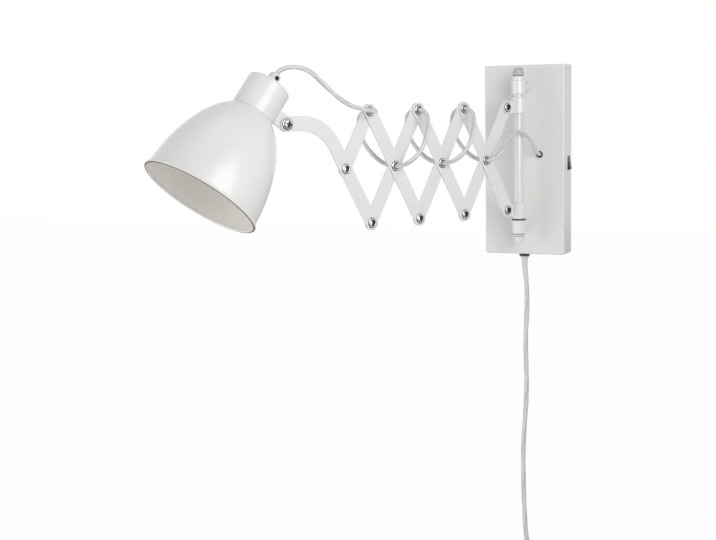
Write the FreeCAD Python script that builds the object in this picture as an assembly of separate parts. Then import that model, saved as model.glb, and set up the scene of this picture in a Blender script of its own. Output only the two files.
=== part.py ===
"""Accordion wall lamp: a scissor arm on a swivelling rod, with a spun metal shade.

Row frame, in mm: the wall is the plane y = 0, +Z is up, +X is to the right as one
faces the wall, and the lamp stands out of the wall towards -Y.  The origin is the
centre of the wall box's back face.

Arm frame: X runs along the arm away from the rod, Y is up, Z points to the rear
side of the arm.  Front links lie at negative Z, rear links at positive Z.
Head frame: Z runs along the shade's axis from its mouth up to its neck, X points
away from the tilt joint, Y to the front side.  Its origin is where the neck sits.
"""
import FreeCAD, Part
import math
import os

V = FreeCAD.Vector
X_AXIS, Y_AXIS, Z_AXIS = V(1, 0, 0), V(0, 1, 0), V(0, 0, 1)

# ---- wall box -------------------------------------------------------------------
BOX_WIDTH = 100.0
BOX_DEPTH = 33.0
BOX_SHEET = 1.5            # steel sheet of the cover
BOX_CORNER = 2.0           # outer rounding of the cover's edges
LOWER_MARGIN = 36.35       # box's bottom edge to the lower bracket's axis
UPPER_MARGIN = 26.5        # upper bracket's axis to the box's top edge
PLATE_THICKNESS = 2.0
PLATE_GAP = 0.4            # plate's edge to the inside of the cover
PLATE_TAB_DEPTH = 12.0     # bent tabs that take the cover's screws
PLATE_TAB_WIDTH = 16.0
PLATE_TAB_X = 28.0
WALL_HOLE_RADIUS = 2.5
WALL_HOLE_SPACING = 120.0  # the two wall screws, one above the other

# ---- rod and brackets -----------------------------------------------------------
ROD_STANDOFF = 24.0        # front of the box to the rod's axis
ROD_RADIUS = 6.0
ROD_TAIL = 1.0             # how far the rod runs past each bracket into its cap
SLEEVE_RADIUS = 8.6
SLEEVE_HEIGHT = 16.3
SLEEVE_BREAK = 0.6         # chamfer on the sleeves and collars
POST_RADIUS = 7.2
POST_SCREW_RADIUS = 2.5
POST_SCREW_DEPTH = 15.0
CAP_RADIUS = 6.4
CAP_LENGTH = 10.0
CAP_FLANGE = 2.2           # thin flange of the lower cap, against its bracket
CAP_CONE = 5.2             # taper of the upper cap
WASHER_THICKNESS = 1.6

# ---- scissor arm ----------------------------------------------------------------
LINK_HALF = 70.0           # end hole to middle hole
LINK_WIDTH = 16.0
LINK_THICKNESS = 2.0
LINK_BREAK = 0.3           # chamfer along the links' edges
LAYER_GAP = 0.2            # between the front and the rear links
FOLD_ANGLE = 29.0          # link to the vertical, as the arm stands
CLOSED_ANGLE = 25.6        # the same, with the arm pushed in to its stop
SWING_ANGLE = 60.0         # arm to the wall plane, as it stands
EAR_LENGTH = 19.0          # rod's axis to the first rivets
CELLS = 3                  # whole cells, before the short one that carries the end link
COLLAR_RADIUS = 8.7
COLLAR_FAR = 11.2          # rivet to the collar's end that faces the bracket
COLLAR_NEAR = 7.2          # rivet to the collar's other end
STOP_GAP = 0.4             # upper collar to its bracket, at the stop
RUN_GAP = 0.2              # flat faces that turn against each other
FIT_GAP = 0.06             # radial running clearance of collars, eyelets and pins

# ---- eyelets ---------------------------------------------------------------------
EYELET_BORE = 3.1
EYELET_SHANK = 3.9
EYELET_FLANGE = 5.8
EYELET_LIP = 0.9

# ---- end link and tilt joint ------------------------------------------------------
TILT_ALONG = 74.0          # last middle rivet to the tilt joint, along the arm
TILT_RISE = 50.1
END_BEND = 48.0            # radius of the end link's centre line
TILT_SCREW_RADIUS = 2.5
TILT_WASHER_RADIUS = 6.2
TILT_WASHER = 1.0
TILT_HEAD_RADIUS = 4.7
TILT_HEAD = 2.8
NUT_ACROSS = 8.0
NUT_HEIGHT = 4.0

# ---- head ------------------------------------------------------------------------
TILT_ANGLE = 38.0          # shade's axis to the vertical
NECK_RADIUS = 23.5
NECK_LENGTH = 37.0
NECK_SHEET = 1.2
NECK_ROUND = 2.2
SPIGOT_HEIGHT = 8.0        # bell's collar inside the neck
SHADE_SHEET = 1.0
BELL_LENGTH = 104.0
BELL_RADIUS = 61.5
BELL_LEVEL = 2.0           # how far below the rim the bell would be widest
BEAD_RADIUS = 1.7          # rolled rim
JOINT_OFFSET = 39.9        # tilt joint to the shade's axis
JOINT_HEIGHT = 16.8        # tilt joint above the neck's seat
LUG_THICKNESS = 2.5
LUG_FOOT_ANGLE = 36.0
LUG_FOOT = 2.0
GRIP_RADIUS = 6.2
GRIP_LENGTH = 14.0
GRIP_WAIST = 4.9
GRIP_SCREW_RADIUS = 2.4
NIPPLE_RADIUS = 5.0
NIPPLE_BORE = 3.4
NIPPLE_REACH = 6.0         # into the grip above the neck, and below the neck
HOLDER_RADIUS = 19.0
HOLDER_LENGTH = 46.0
HOLDER_TOP_GAP = 4.0       # holder's shoulder below the neck's roof
SOCKET_RADIUS = 13.3
SOCKET_DEPTH = 27.0
CONTACT_WELL_RADIUS = 12.4  # shallow well behind the thread that holds the contacts
CONTACT_WELL_DEPTH = 3.2
LUG_RIVET_RADIUS = 1.5
LUG_RIVET_TAIL = 2.3       # radius of the rivets' flat tails inside the neck

# ---- cords -----------------------------------------------------------------------
ARM_CORD_RADIUS = 2.5
MAINS_CORD_RADIUS = 3.0
WIRE_RADIUS = 1.1
CORD_GAP = 0.1             # cord to the bores that it passes
BUSH_X, BUSH_Z = 19.5, 7.4
BUSH_FLANGE = 4.9
GLAND_X, GLAND_Y = -4.5, -17.0
GLAND_FLANGE = 6.3
LOOP_OUT = 25.0            # how far the arm cord's loops stand out of the arm
LOOP_SAG = 9.0             # how far they hang off the line between two eyelets
COIL_OUTER = 46.0
COIL_PITCH = 7.0
COIL_LAYER = 6.8
COIL_TURNS = 6.125
COIL_CENTRE_DROP = 33.0

# ---- rocker switch ----------------------------------------------------------------
SWITCH_Y, SWITCH_Z = -15.0, -3.8
SWITCH_HEIGHT, SWITCH_WIDTH = 21.0, 15.0
SWITCH_BEZEL = 1.8
SWITCH_BODY_DEPTH = 13.0
ROCKER_HALF = 8.2
ROCKER_WIDTH = 9.8
ROCKER_TILT = 10.0
ROCKER_GAP = 0.3

# ---- worked out from the sizes above -------------------------------------------------
CLOSED_RISE = 2 * LINK_HALF * math.cos(math.radians(CLOSED_ANGLE))
BRACKET_SPAN = SLEEVE_HEIGHT + WASHER_THICKNESS + RUN_GAP + 2 * COLLAR_FAR + CLOSED_RISE + STOP_GAP
BOX_HEIGHT = LOWER_MARGIN + BRACKET_SPAN + UPPER_MARGIN
BOX_TOP = BOX_HEIGHT / 2
LOWER_POST = -BOX_TOP + LOWER_MARGIN
UPPER_POST = BOX_TOP - UPPER_MARGIN
BRACKET_TOP = LOWER_POST + SLEEVE_HEIGHT / 2
ROD_Y = -BOX_DEPTH - ROD_STANDOFF
BASE_Z = BRACKET_TOP + WASHER_THICKNESS + RUN_GAP + COLLAR_FAR   # lower row of rivets
STEP = LINK_HALF * math.sin(math.radians(FOLD_ANGLE))
RISE = LINK_HALF * math.cos(math.radians(FOLD_ANGLE))
NEAR_FACE = LAYER_GAP / 2                  # inner and outer faces of a layer of links
FAR_FACE = NEAR_FACE + LINK_THICKNESS
LIP_FACE = FAR_FACE + LAYER_GAP / 2 + EYELET_LIP

swing, tilt = math.radians(SWING_ANGLE), math.radians(TILT_ANGLE)
ALONG = V(-math.cos(swing), -math.sin(swing), 0)
REAR = V(-math.sin(swing), math.cos(swing), 0)


def frame(origin, x_dir, y_dir, z_dir):
    """Placement that takes a frame's own axes to the given directions."""
    return FreeCAD.Placement(FreeCAD.Matrix(
        x_dir.x, y_dir.x, z_dir.x, origin.x,
        x_dir.y, y_dir.y, z_dir.y, origin.y,
        x_dir.z, y_dir.z, z_dir.z, origin.z,
        0, 0, 0, 1))


ARM = frame(V(0, ROD_Y, 0), ALONG, Z_AXIS, REAR)
TILT_JOINT = V(EAR_LENGTH + (2 * CELLS + 1) * STEP + TILT_ALONG, BASE_Z + RISE + TILT_RISE, 0)
SHADE_UP = V(-math.sin(tilt), math.cos(tilt), 0)
SHADE_OUT = V(math.cos(tilt), math.sin(tilt), 0)
NECK_SEAT = TILT_JOINT + SHADE_OUT * JOINT_OFFSET - SHADE_UP * JOINT_HEIGHT
HEAD = ARM.multiply(frame(NECK_SEAT, SHADE_OUT, V(0, 0, -1), SHADE_UP))


# ---- helpers -------------------------------------------------------------------------
def placed(shape, placement):
    copy = shape.copy()
    copy.Placement = placement.multiply(copy.Placement)
    return copy


def rod(radius, start, end):
    """Cylinder between two points."""
    span = end - start
    return Part.makeCylinder(radius, span.Length, start, span)


def tube(outer, inner, start, end):
    return rod(outer, start, end).cut(rod(inner, start, end))


def block(low, high):
    """Box between two opposite corners."""
    size = high - low
    return Part.makeBox(size.x, size.y, size.z, low)


def lathe(outline, base=V(0, 0, 0), axis=Z_AXIS):
    """Turned solid: the outline is a list of (radius, height) points along the axis."""
    points = [V(r, 0, h) for r, h in outline]
    face = Part.Face(Part.makePolygon(points + points[:1]))
    solid = face.revolve(V(0, 0, 0), Z_AXIS, 360)
    turn = FreeCAD.Rotation(Z_AXIS, axis)
    solid.Placement = FreeCAD.Placement(base, turn)
    return solid


def plate(outline, low, high):
    """Flat piece in the arm frame: a closed wire at Z = 0, pushed from low to high."""
    face = Part.Face(outline)
    face.translate(V(0, 0, low))
    return face.extrude(V(0, 0, high - low))


def slot_outline(start, end, half_width):
    """Bar outline with round ends about two points."""
    along = (end - start).normalize()
    side = V(-along.y, along.x, 0) * half_width
    nose = along * half_width
    return Part.Wire([
        Part.makeLine(start + side, end + side),
        Part.Arc(end + side, end + nose, end - side).toShape(),
        Part.makeLine(end - side, start - side),
        Part.Arc(start - side, start - nose, start + side).toShape()])


def break_edges(solid, low, high, size):
    """Chamfer the outer edges that lie on the two flat sides of a link."""
    rims = [e for e in solid.Edges
            if abs(e.BoundBox.ZMin - e.BoundBox.ZMax) < 1e-6
            and min(abs(e.BoundBox.ZMin - low), abs(e.BoundBox.ZMin - high)) < 1e-6]
    return solid.makeChamfer(size, rims)


def fillet_where(solid, radius, test):
    return solid.makeFillet(radius, [e for e in solid.Edges if test(e.BoundBox)])


def route(points, share=0.45):
    """Straight runs joined by tangent arcs. Returns the wire, its length and its least radius."""
    edges, start, least = [], points[0], None
    for before, corner, after in zip(points, points[1:], points[2:]):
        to_before = (before - corner).normalize()
        to_after = (after - corner).normalize()
        half_turn = (math.pi - to_before.getAngle(to_after)) / 2
        reach = share * min(corner.distanceToPoint(before), corner.distanceToPoint(after))
        radius = reach / math.tan(half_turn)
        first, last = corner + to_before * reach, corner + to_after * reach
        inward = (to_before + to_after).normalize()
        middle = corner + inward * (radius / math.cos(half_turn) - radius)
        edges.append(Part.LineSegment(start, first).toShape())
        edges.append(Part.Arc(first, middle, last).toShape())
        start = last
        least = radius if least is None else min(least, radius)
    edges.append(Part.LineSegment(start, points[-1]).toShape())
    wire = Part.Wire(edges)
    return wire, wire.Length, least


def cord_along(wire, radius, start, heading):
    profile = Part.Wire([Part.makeCircle(radius, start, heading)])
    return wire.makePipeShell([profile], True, False)


def cord(name, points, radius):
    """Round cord along a route, with its radii and volume printed for checking."""
    wire, length, least = route(points)
    solid = cord_along(wire, radius, points[0], points[1] - points[0])
    share = solid.Volume / (math.pi * radius ** 2 * length)
    print(f"{name}: length {length:.0f}, least radius {least:.1f}, volume share {share:.4f}")
    return solid


def bottom_rivet(i):
    return V(EAR_LENGTH + 2 * i * STEP, BASE_Z, 0)


def top_rivet(i):
    return V(EAR_LENGTH + 2 * i * STEP, BASE_Z + 2 * RISE, 0)


def middle_rivet(i):
    return V(EAR_LENGTH + (2 * i - 1) * STEP, BASE_Z + RISE, 0)


# ---- wall box --------------------------------------------------------------------------
def on_front(box):
    return abs(box.YMin + BOX_DEPTH) < 1e-6


def wall_cover():
    half = BOX_WIDTH / 2
    outer = block(V(-half, -BOX_DEPTH, -BOX_TOP), V(half, 0, BOX_TOP))
    outer = fillet_where(outer, BOX_CORNER, lambda b: on_front(b) or b.YLength > BOX_DEPTH - 1e-6)
    inset = BOX_SHEET
    inner = block(V(-half + inset, -BOX_DEPTH + inset, -BOX_TOP + inset),
                  V(half - inset, 1, BOX_TOP - inset))
    cover = outer.cut(inner)
    for z in (LOWER_POST, UPPER_POST):
        cover = cover.cut(rod(POST_SCREW_RADIUS + CORD_GAP, V(0, -BOX_DEPTH - 1, z), V(0, -20, z)))
    bush = rod(BUSH_FLANGE - 1.5, V(BUSH_X, -BOX_DEPTH - 1, BUSH_Z), V(BUSH_X, -20, BUSH_Z))
    gland = rod(GLAND_FLANGE - 1.5, V(GLAND_X, GLAND_Y, -BOX_TOP - 1),
                V(GLAND_X, GLAND_Y, -BOX_TOP + 3))
    window = block(
        V(half - 3, SWITCH_Y - SWITCH_WIDTH / 2 + 1, SWITCH_Z - SWITCH_HEIGHT / 2 + 1),
        V(half + 1, SWITCH_Y + SWITCH_WIDTH / 2 - 1, SWITCH_Z + SWITCH_HEIGHT / 2 - 1))
    cover = cover.cut(bush).cut(gland).cut(window)
    for x in (-PLATE_TAB_X, PLATE_TAB_X):
        cover = cover.cut(rod(1.7, V(x, TAB_SCREW_Y, -BOX_TOP - 1), V(x, TAB_SCREW_Y, -BOX_TOP + 3)))
    return cover


TAB_SCREW_Y = -PLATE_TAB_DEPTH + 4.0
PLATE_HALF = BOX_WIDTH / 2 - BOX_SHEET - PLATE_GAP
PLATE_TOP = BOX_TOP - BOX_SHEET - PLATE_GAP


def mounting_plate():
    """Back plate with two wall holes and four bent tabs for the cover."""
    plate_solid = block(V(-PLATE_HALF, -PLATE_THICKNESS, -PLATE_TOP), V(PLATE_HALF, 0, PLATE_TOP))
    for side in (-1, 1):
        z = side * WALL_HOLE_SPACING / 2
        plate_solid = plate_solid.cut(rod(WALL_HOLE_RADIUS, V(0, -5, z), V(0, 1, z)))
    for x in (-PLATE_TAB_X, PLATE_TAB_X):
        for low, high in ((-PLATE_TOP, -PLATE_TOP + PLATE_THICKNESS),
                          (PLATE_TOP - PLATE_THICKNESS, PLATE_TOP)):
            plate_solid = plate_solid.fuse(block(
                V(x - PLATE_TAB_WIDTH / 2, -PLATE_TAB_DEPTH, low),
                V(x + PLATE_TAB_WIDTH / 2, -PLATE_THICKNESS, high)))
        plate_solid = plate_solid.cut(
            rod(1.5, V(x, TAB_SCREW_Y, -PLATE_TOP - 1), V(x, TAB_SCREW_Y, -PLATE_TOP + 5)))
    return plate_solid.removeSplitter()


def pan_screw(seat, heading, head_radius, head, radius, length):
    """Pan-head screw: seat is under the head, heading runs down the shank."""
    outline = [(0, -head), (head_radius * 0.72, -head), (head_radius, -head * 0.45),
               (head_radius, 0), (radius, 0), (radius, length), (0, length)]
    return lathe(outline, seat, heading)


def cover_screws():
    return Part.makeCompound([
        pan_screw(V(x, TAB_SCREW_Y, -BOX_TOP), Z_AXIS, 2.8, 1.6, 1.5, 8.0)
        for x in (-PLATE_TAB_X, PLATE_TAB_X)])


def bracket(z):
    """Cast eye and post: the eye holds the rod, the post screws to the cover's face."""
    sleeve = lathe([(0, -SLEEVE_HEIGHT / 2), (SLEEVE_RADIUS - SLEEVE_BREAK, -SLEEVE_HEIGHT / 2),
                    (SLEEVE_RADIUS, -SLEEVE_HEIGHT / 2 + SLEEVE_BREAK),
                    (SLEEVE_RADIUS, SLEEVE_HEIGHT / 2 - SLEEVE_BREAK),
                    (SLEEVE_RADIUS - SLEEVE_BREAK, SLEEVE_HEIGHT / 2), (0, SLEEVE_HEIGHT / 2)],
                   V(0, ROD_Y, z))
    post = rod(POST_RADIUS, V(0, ROD_Y, z), V(0, -BOX_DEPTH, z))
    hole = rod(POST_SCREW_RADIUS, V(0, -BOX_DEPTH - POST_SCREW_DEPTH, z), V(0, -BOX_DEPTH, z))
    bore = rod(ROD_RADIUS, V(0, ROD_Y, z - SLEEVE_HEIGHT), V(0, ROD_Y, z + SLEEVE_HEIGHT))
    return sleeve.fuse(post).cut(bore).cut(hole).removeSplitter()


def bracket_screws():
    return Part.makeCompound([
        pan_screw(V(0, -BOX_DEPTH + BOX_SHEET, z), V(0, -1, 0), 4.6, 2.8, POST_SCREW_RADIUS,
                  POST_SCREW_DEPTH - 1.0)
        for z in (LOWER_POST, UPPER_POST)])


ROD_BOTTOM = LOWER_POST - SLEEVE_HEIGHT / 2 - ROD_TAIL
ROD_TOP = UPPER_POST + SLEEVE_HEIGHT / 2 + ROD_TAIL


def pivot_rod():
    return rod(ROD_RADIUS, V(0, ROD_Y, ROD_BOTTOM), V(0, ROD_Y, ROD_TOP))


def rod_end_caps():
    """Caps over the rod's two ends: a flanged one below, a tapered one above."""
    lower = lathe([(ROD_RADIUS, 0), (SLEEVE_RADIUS - 0.8, 0), (SLEEVE_RADIUS - 0.8, CAP_FLANGE),
                   (CAP_RADIUS, CAP_FLANGE), (CAP_RADIUS, CAP_LENGTH), (CAP_RADIUS - 1, CAP_LENGTH + 1),
                   (0, CAP_LENGTH + 1), (0, ROD_TAIL), (ROD_RADIUS, ROD_TAIL)],
                  V(0, ROD_Y, ROD_BOTTOM + ROD_TAIL), V(0, 0, -1))
    upper = lathe([(ROD_RADIUS, 0), (SLEEVE_RADIUS - 0.4, 0), (CAP_RADIUS, CAP_CONE),
                   (CAP_RADIUS, CAP_LENGTH + 3), (CAP_RADIUS - 2, CAP_LENGTH + 5),
                   (0, CAP_LENGTH + 5), (0, ROD_TAIL), (ROD_RADIUS, ROD_TAIL)],
                  V(0, ROD_Y, ROD_TOP - ROD_TAIL), Z_AXIS)
    return Part.makeCompound([lower, upper])


def thrust_washer():
    return tube(SLEEVE_RADIUS - 0.3, ROD_RADIUS, V(0, ROD_Y, BRACKET_TOP),
                V(0, ROD_Y, BRACKET_TOP + WASHER_THICKNESS))


# ---- rocker switch ----------------------------------------------------------------------
BEZEL_X = BOX_WIDTH / 2 + SWITCH_BEZEL
ROCKER_PIVOT = V(BEZEL_X - 2.5, SWITCH_Y, SWITCH_Z)


def switch_housing():
    half_w, half_h = SWITCH_WIDTH / 2, SWITCH_HEIGHT / 2
    centre = V(0, SWITCH_Y, SWITCH_Z)
    bezel = block(centre + V(BOX_WIDTH / 2, -half_w, -half_h), centre + V(BEZEL_X, half_w, half_h))
    bezel = fillet_where(bezel, 3.0, lambda b: b.XLength > SWITCH_BEZEL - 1e-6)
    bezel = bezel.makeChamfer(0.6, [e for e in bezel.Edges if abs(e.BoundBox.XMin - BEZEL_X) < 1e-6])
    body = block(centre + V(BOX_WIDTH / 2 - SWITCH_BODY_DEPTH, -half_w + 1.1, -half_h + 1.1),
                 centre + V(BOX_WIDTH / 2, half_w - 1.1, half_h - 1.1))
    well_w, well_h = ROCKER_WIDTH / 2 + ROCKER_GAP, ROCKER_HALF + ROCKER_GAP + 0.3
    well = block(centre + V(BEZEL_X - 9.0, -well_w, -well_h), centre + V(BEZEL_X + 1, well_w, well_h))
    trunnion = rod(1.2 + FIT_GAP, ROCKER_PIVOT - V(0, well_w + 0.9, 0), ROCKER_PIVOT + V(0, well_w + 0.9, 0))
    return bezel.fuse(body).cut(well).cut(trunnion).removeSplitter()


def switch_rocker():
    """Rocker with its upper end pressed in; the two faces meet in a shallow V."""
    half = ROCKER_HALF
    outline = [V(0.9, 0, 0), V(2.3, 0, half), V(-0.6, 0, half - 0.2)]
    lower = [V(-0.6, 0, -half + 0.2), V(2.3, 0, -half), V(0.9, 0, 0)]
    edges = [Part.makeLine(a, b) for a, b in zip(outline, outline[1:])]
    edges.append(Part.Arc(outline[-1], V(-4.0, 0, 0), lower[0]).toShape())
    edges += [Part.makeLine(a, b) for a, b in zip(lower, lower[1:])]
    face = Part.Face(Part.Wire(edges))
    face.translate(V(0, -ROCKER_WIDTH / 2, 0))
    body = face.extrude(V(0, ROCKER_WIDTH, 0))
    pin_half = ROCKER_WIDTH / 2 + ROCKER_GAP + 0.7
    body = body.fuse(rod(1.2, V(0, -pin_half, 0), V(0, pin_half, 0)))
    body.rotate(V(0, 0, 0), Y_AXIS, -ROCKER_TILT)
    body.translate(ROCKER_PIVOT)
    return body


def switch_contacts():
    """Two blade terminals on the back of the switch."""
    back = BOX_WIDTH / 2 - SWITCH_BODY_DEPTH
    return Part.makeCompound([
        block(V(back - BLADE_LENGTH, SWITCH_Y - 0.4, z - 2.3), V(back, SWITCH_Y + 0.4, z + 2.3))
        for z in (SWITCH_Z - 5.0, SWITCH_Z + 5.0)])


# ---- bushes, terminals and leads ------------------------------------------------------------
def face_bush():
    """Plastic bush in the box's face for the arm cord."""
    bore, shank = ARM_CORD_RADIUS + CORD_GAP, BUSH_FLANGE - 1.5
    outline = [(bore, 0), (BUSH_FLANGE - 0.6, 0), (BUSH_FLANGE, 0.6), (BUSH_FLANGE, 1.6), (shank, 1.6),
               (shank, 1.6 + BOX_SHEET), (shank + 0.7, 1.6 + BOX_SHEET), (shank, 6.0), (bore, 6.0)]
    return lathe(outline, V(BUSH_X, -BOX_DEPTH - 1.6, BUSH_Z), Y_AXIS)


def cord_gland():
    """Strain relief bush in the box's bottom: flange, short dome and the part inside."""
    bore, shank = MAINS_CORD_RADIUS + CORD_GAP, GLAND_FLANGE - 1.5
    outline = [(bore, 7.0), (bore, -4.0), (shank + 0.8, -BOX_SHEET), (shank, -BOX_SHEET),
               (shank, 0), (GLAND_FLANGE, 0), (GLAND_FLANGE, 3.2), (GLAND_FLANGE - 1.2, 3.8),
               (4.6, 4.2), (4.2, 6.2)]
    return lathe(outline, V(GLAND_X, GLAND_Y, -BOX_TOP), V(0, 0, -1))


TERMINAL_LOW = V(-20.0, -15.0, -46.0)
TERMINAL_HIGH = V(14.0, -PLATE_THICKNESS, -32.0)
TERMINAL_POLES = (-14.0, -3.0, 8.0)
TERMINAL_Y = -9.0
CLAMP_Z = -BOX_TOP + 25.0
BLADE_LENGTH = 7.0
LEAD_GAP = 0.3             # wires' ends to the switch's blades


def terminal_block():
    """Screw terminal block on the plate, with a wire hole and a screw well for each pole."""
    body = block(TERMINAL_LOW, TERMINAL_HIGH)
    for x in TERMINAL_POLES:
        body = body.cut(rod(1.6, V(x, TERMINAL_Y, TERMINAL_LOW.z - 1), V(x, TERMINAL_Y, TERMINAL_HIGH.z + 1)))
        for z in (-43.0, -35.0):
            body = body.cut(rod(2.0, V(x, TERMINAL_LOW.y - 1, z), V(x, TERMINAL_Y, z)))
    return body


def terminal_screws():
    return Part.makeCompound([
        rod(1.9, V(x, -14.0, z), V(x, -10.5, z)) for x in TERMINAL_POLES for z in (-43.0, -35.0)])


def cord_clamp():
    """Saddle over the mains cord, inside the box."""
    saddle = block(V(GLAND_X - 12.0, -22.5, CLAMP_Z - 5), V(GLAND_X + 12.0, -PLATE_THICKNESS, CLAMP_Z + 5))
    saddle = saddle.cut(rod(MAINS_CORD_RADIUS, V(GLAND_X, GLAND_Y, CLAMP_Z - 6),
                            V(GLAND_X, GLAND_Y, CLAMP_Z + 6)))
    for x in (GLAND_X - 8.0, GLAND_X + 8.0):
        saddle = saddle.cut(rod(1.5, V(x, -23, CLAMP_Z), V(x, -PLATE_THICKNESS - 3, CLAMP_Z)))
    return saddle


def clamp_screws():
    return Part.makeCompound([
        pan_screw(V(x, -22.5, CLAMP_Z), Y_AXIS, 2.8, 1.8, 1.5, 14.0)
        for x in (GLAND_X - 8.0, GLAND_X + 8.0)])


def inner_leads():
    """Leads inside the box: supply, arm cord and the two switch wires."""
    left, middle, right = TERMINAL_POLES
    below, above = TERMINAL_LOW.z - 1.0, TERMINAL_HIGH.z + 1.0
    supply = [V(GLAND_X, GLAND_Y, -BOX_TOP + 4.0), V(GLAND_X, GLAND_Y, CLAMP_Z + 20.0),
              V(middle, TERMINAL_Y, below - 11.0), V(middle, TERMINAL_Y, below)]
    arm = [V(BUSH_X, -BOX_DEPTH + 4.4, BUSH_Z), V(BUSH_X, TERMINAL_Y, BUSH_Z),
           V(right, TERMINAL_Y, above + 19.0), V(right, TERMINAL_Y, above)]
    blades = BOX_WIDTH / 2 - SWITCH_BODY_DEPTH - BLADE_LENGTH - LEAD_GAP
    upper = [V(blades, SWITCH_Y, SWITCH_Z + 5.0), V(blades - 14.0, SWITCH_Y, SWITCH_Z + 5.0),
             V(middle, -11.0, above + 19.0), V(middle, TERMINAL_Y, above)]
    lower = [V(blades, SWITCH_Y, SWITCH_Z - 5.0), V(blades - 6.0, SWITCH_Y, SWITCH_Z - 5.0),
             V(24.0, -10.0, below - 11.0), V(right, TERMINAL_Y, below - 13.0), V(right, TERMINAL_Y, below)]
    return Part.makeCompound([
        cord("supply lead", supply, MAINS_CORD_RADIUS),
        cord("arm lead", arm, ARM_CORD_RADIUS),
        cord("upper switch wire", upper, WIRE_RADIUS),
        cord("lower switch wire", lower, WIRE_RADIUS)])


# ---- collars and links ---------------------------------------------------------------------
def pierced(solid, centre, radius):
    return solid.cut(rod(radius, centre - Z_AXIS * 20, centre + Z_AXIS * 20))


def collar(rivet, away, side):
    """Collar on the rod with a flat ear for the first link.

    away is +1 if the long end is up and -1 if it is down; side is -1 for an ear in
    the front layer and +1 for one in the rear layer.
    """
    far, near = rivet.y + away * COLLAR_FAR, rivet.y - away * COLLAR_NEAR
    low, high = min(far, near), max(far, near)
    barrel = lathe([(0, 0), (COLLAR_RADIUS - SLEEVE_BREAK, 0), (COLLAR_RADIUS, SLEEVE_BREAK),
                    (COLLAR_RADIUS, high - low - SLEEVE_BREAK),
                    (COLLAR_RADIUS - SLEEVE_BREAK, high - low), (0, high - low)],
                   V(0, low, 0), Y_AXIS)
    half = COLLAR_NEAR
    ear = plate(slot_outline(V(0, rivet.y, 0), rivet, half), *sorted((side * NEAR_FACE, side * FAR_FACE)))
    bore = rod(ROD_RADIUS + FIT_GAP, V(0, low - 1, 0), V(0, high + 1, 0))
    hole = EYELET_SHANK if side < 0 else EYELET_SHANK + FIT_GAP
    solid = pierced(barrel.fuse(ear), rivet, hole).cut(bore).removeSplitter()
    return placed(solid, ARM)


def straight_link(start, end, rivets, side):
    """Flat bar with round ends; front bars hold the eyelets, rear bars turn on them."""
    low, high = sorted((side * NEAR_FACE, side * FAR_FACE))
    solid = plate(slot_outline(start, end, LINK_WIDTH / 2), low, high)
    solid = break_edges(solid, low, high, LINK_BREAK)
    for centre in rivets:
        solid = pierced(solid, centre, EYELET_SHANK if side < 0 else EYELET_SHANK + FIT_GAP)
    return placed(solid, ARM)


def end_link():
    """Last front bar: straight past its middle rivet, then bent over to the tilt joint."""
    half = LINK_WIDTH / 2
    start, middle = bottom_rivet(CELLS), middle_rivet(CELLS + 1)
    up = (middle - start).normalize()
    corner = middle + up * (TILT_RISE / up.y)
    reach = END_BEND * math.tan((math.pi / 2 - math.radians(FOLD_ANGLE)) / 2)
    first, last = corner - up * reach, corner + X_AXIS * reach
    centre = last - Y_AXIS * END_BEND
    bisector = (V(-up.y, up.x, 0) + Y_AXIS).normalize()
    left = V(-up.y, up.x, 0)

    def side(offset):
        """Straight, arc and straight along the bar, offset to its upper or lower side."""
        arc = Part.Arc(first + left * offset, centre + bisector * (END_BEND + offset),
                       last + Y_AXIS * offset).toShape()
        return [Part.makeLine(start + left * offset, first + left * offset), arc,
                Part.makeLine(last + Y_AXIS * offset, TILT_JOINT + Y_AXIS * offset)]

    nose = Part.Arc(TILT_JOINT + Y_AXIS * half, TILT_JOINT + X_AXIS * half,
                    TILT_JOINT - Y_AXIS * half).toShape()
    tail = Part.Arc(start - left * half, start - up * half, start + left * half).toShape()
    outline = Part.Wire(Part.__sortEdges__(side(half) + [nose] + side(-half) + [tail]))
    solid = plate(outline, -FAR_FACE, -NEAR_FACE)
    solid = break_edges(solid, -FAR_FACE, -NEAR_FACE, LINK_BREAK)
    for rivet in (start, middle):
        solid = pierced(solid, rivet, EYELET_SHANK)
    return placed(pierced(solid, TILT_JOINT, TILT_SCREW_RADIUS + FIT_GAP), ARM)


def eyelet(rivet):
    """Hollow rivet: a shank through both layers with a rolled lip on each side."""
    lip, neck = LIP_FACE, LIP_FACE - EYELET_LIP
    outline = [(EYELET_BORE, -lip + 0.5), (EYELET_BORE + 0.7, -lip), (EYELET_FLANGE - 0.7, -lip),
               (EYELET_FLANGE, -lip + 0.6), (EYELET_FLANGE, -FAR_FACE), (EYELET_SHANK, -FAR_FACE),
               (EYELET_SHANK, neck), (EYELET_FLANGE, neck), (EYELET_FLANGE, lip - 0.6),
               (EYELET_FLANGE - 0.7, lip), (EYELET_BORE + 0.7, lip), (EYELET_BORE, lip - 0.5)]
    return placed(lathe(outline, rivet), ARM)


def eyelets(*rivets):
    return Part.makeCompound([eyelet(r) for r in rivets])


# ---- arm cord -----------------------------------------------------------------------------
def loop_points(start, end, side, sag_side):
    """Arm cord from one eyelet to the next, standing out of the arm and hanging a little.

    side is -1 for a loop on the front and +1 for one on the rear.
    """
    along = (end - start)
    span = along.Length
    across = along.cross(Z_AXIS).normalize() * sag_side
    out = Z_AXIS * side

    def at(share, stand, hang):
        return start + along * share + out * (LOOP_OUT * stand) + across * (LOOP_SAG * hang)

    return [start, at(0, 0.76, 0), at(22 / span, 1.0, 0.95), at(48 / span, 0.93, 0.85),
            at(1, 0.68, 0), end]


def front_loop(i):
    """From middle rivet i+1 up to top rivet i, on the front."""
    points = loop_points(middle_rivet(i + 1), top_rivet(i), -1, -1)
    return placed(cord(f"front loop {i}", points, ARM_CORD_RADIUS), ARM)


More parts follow.
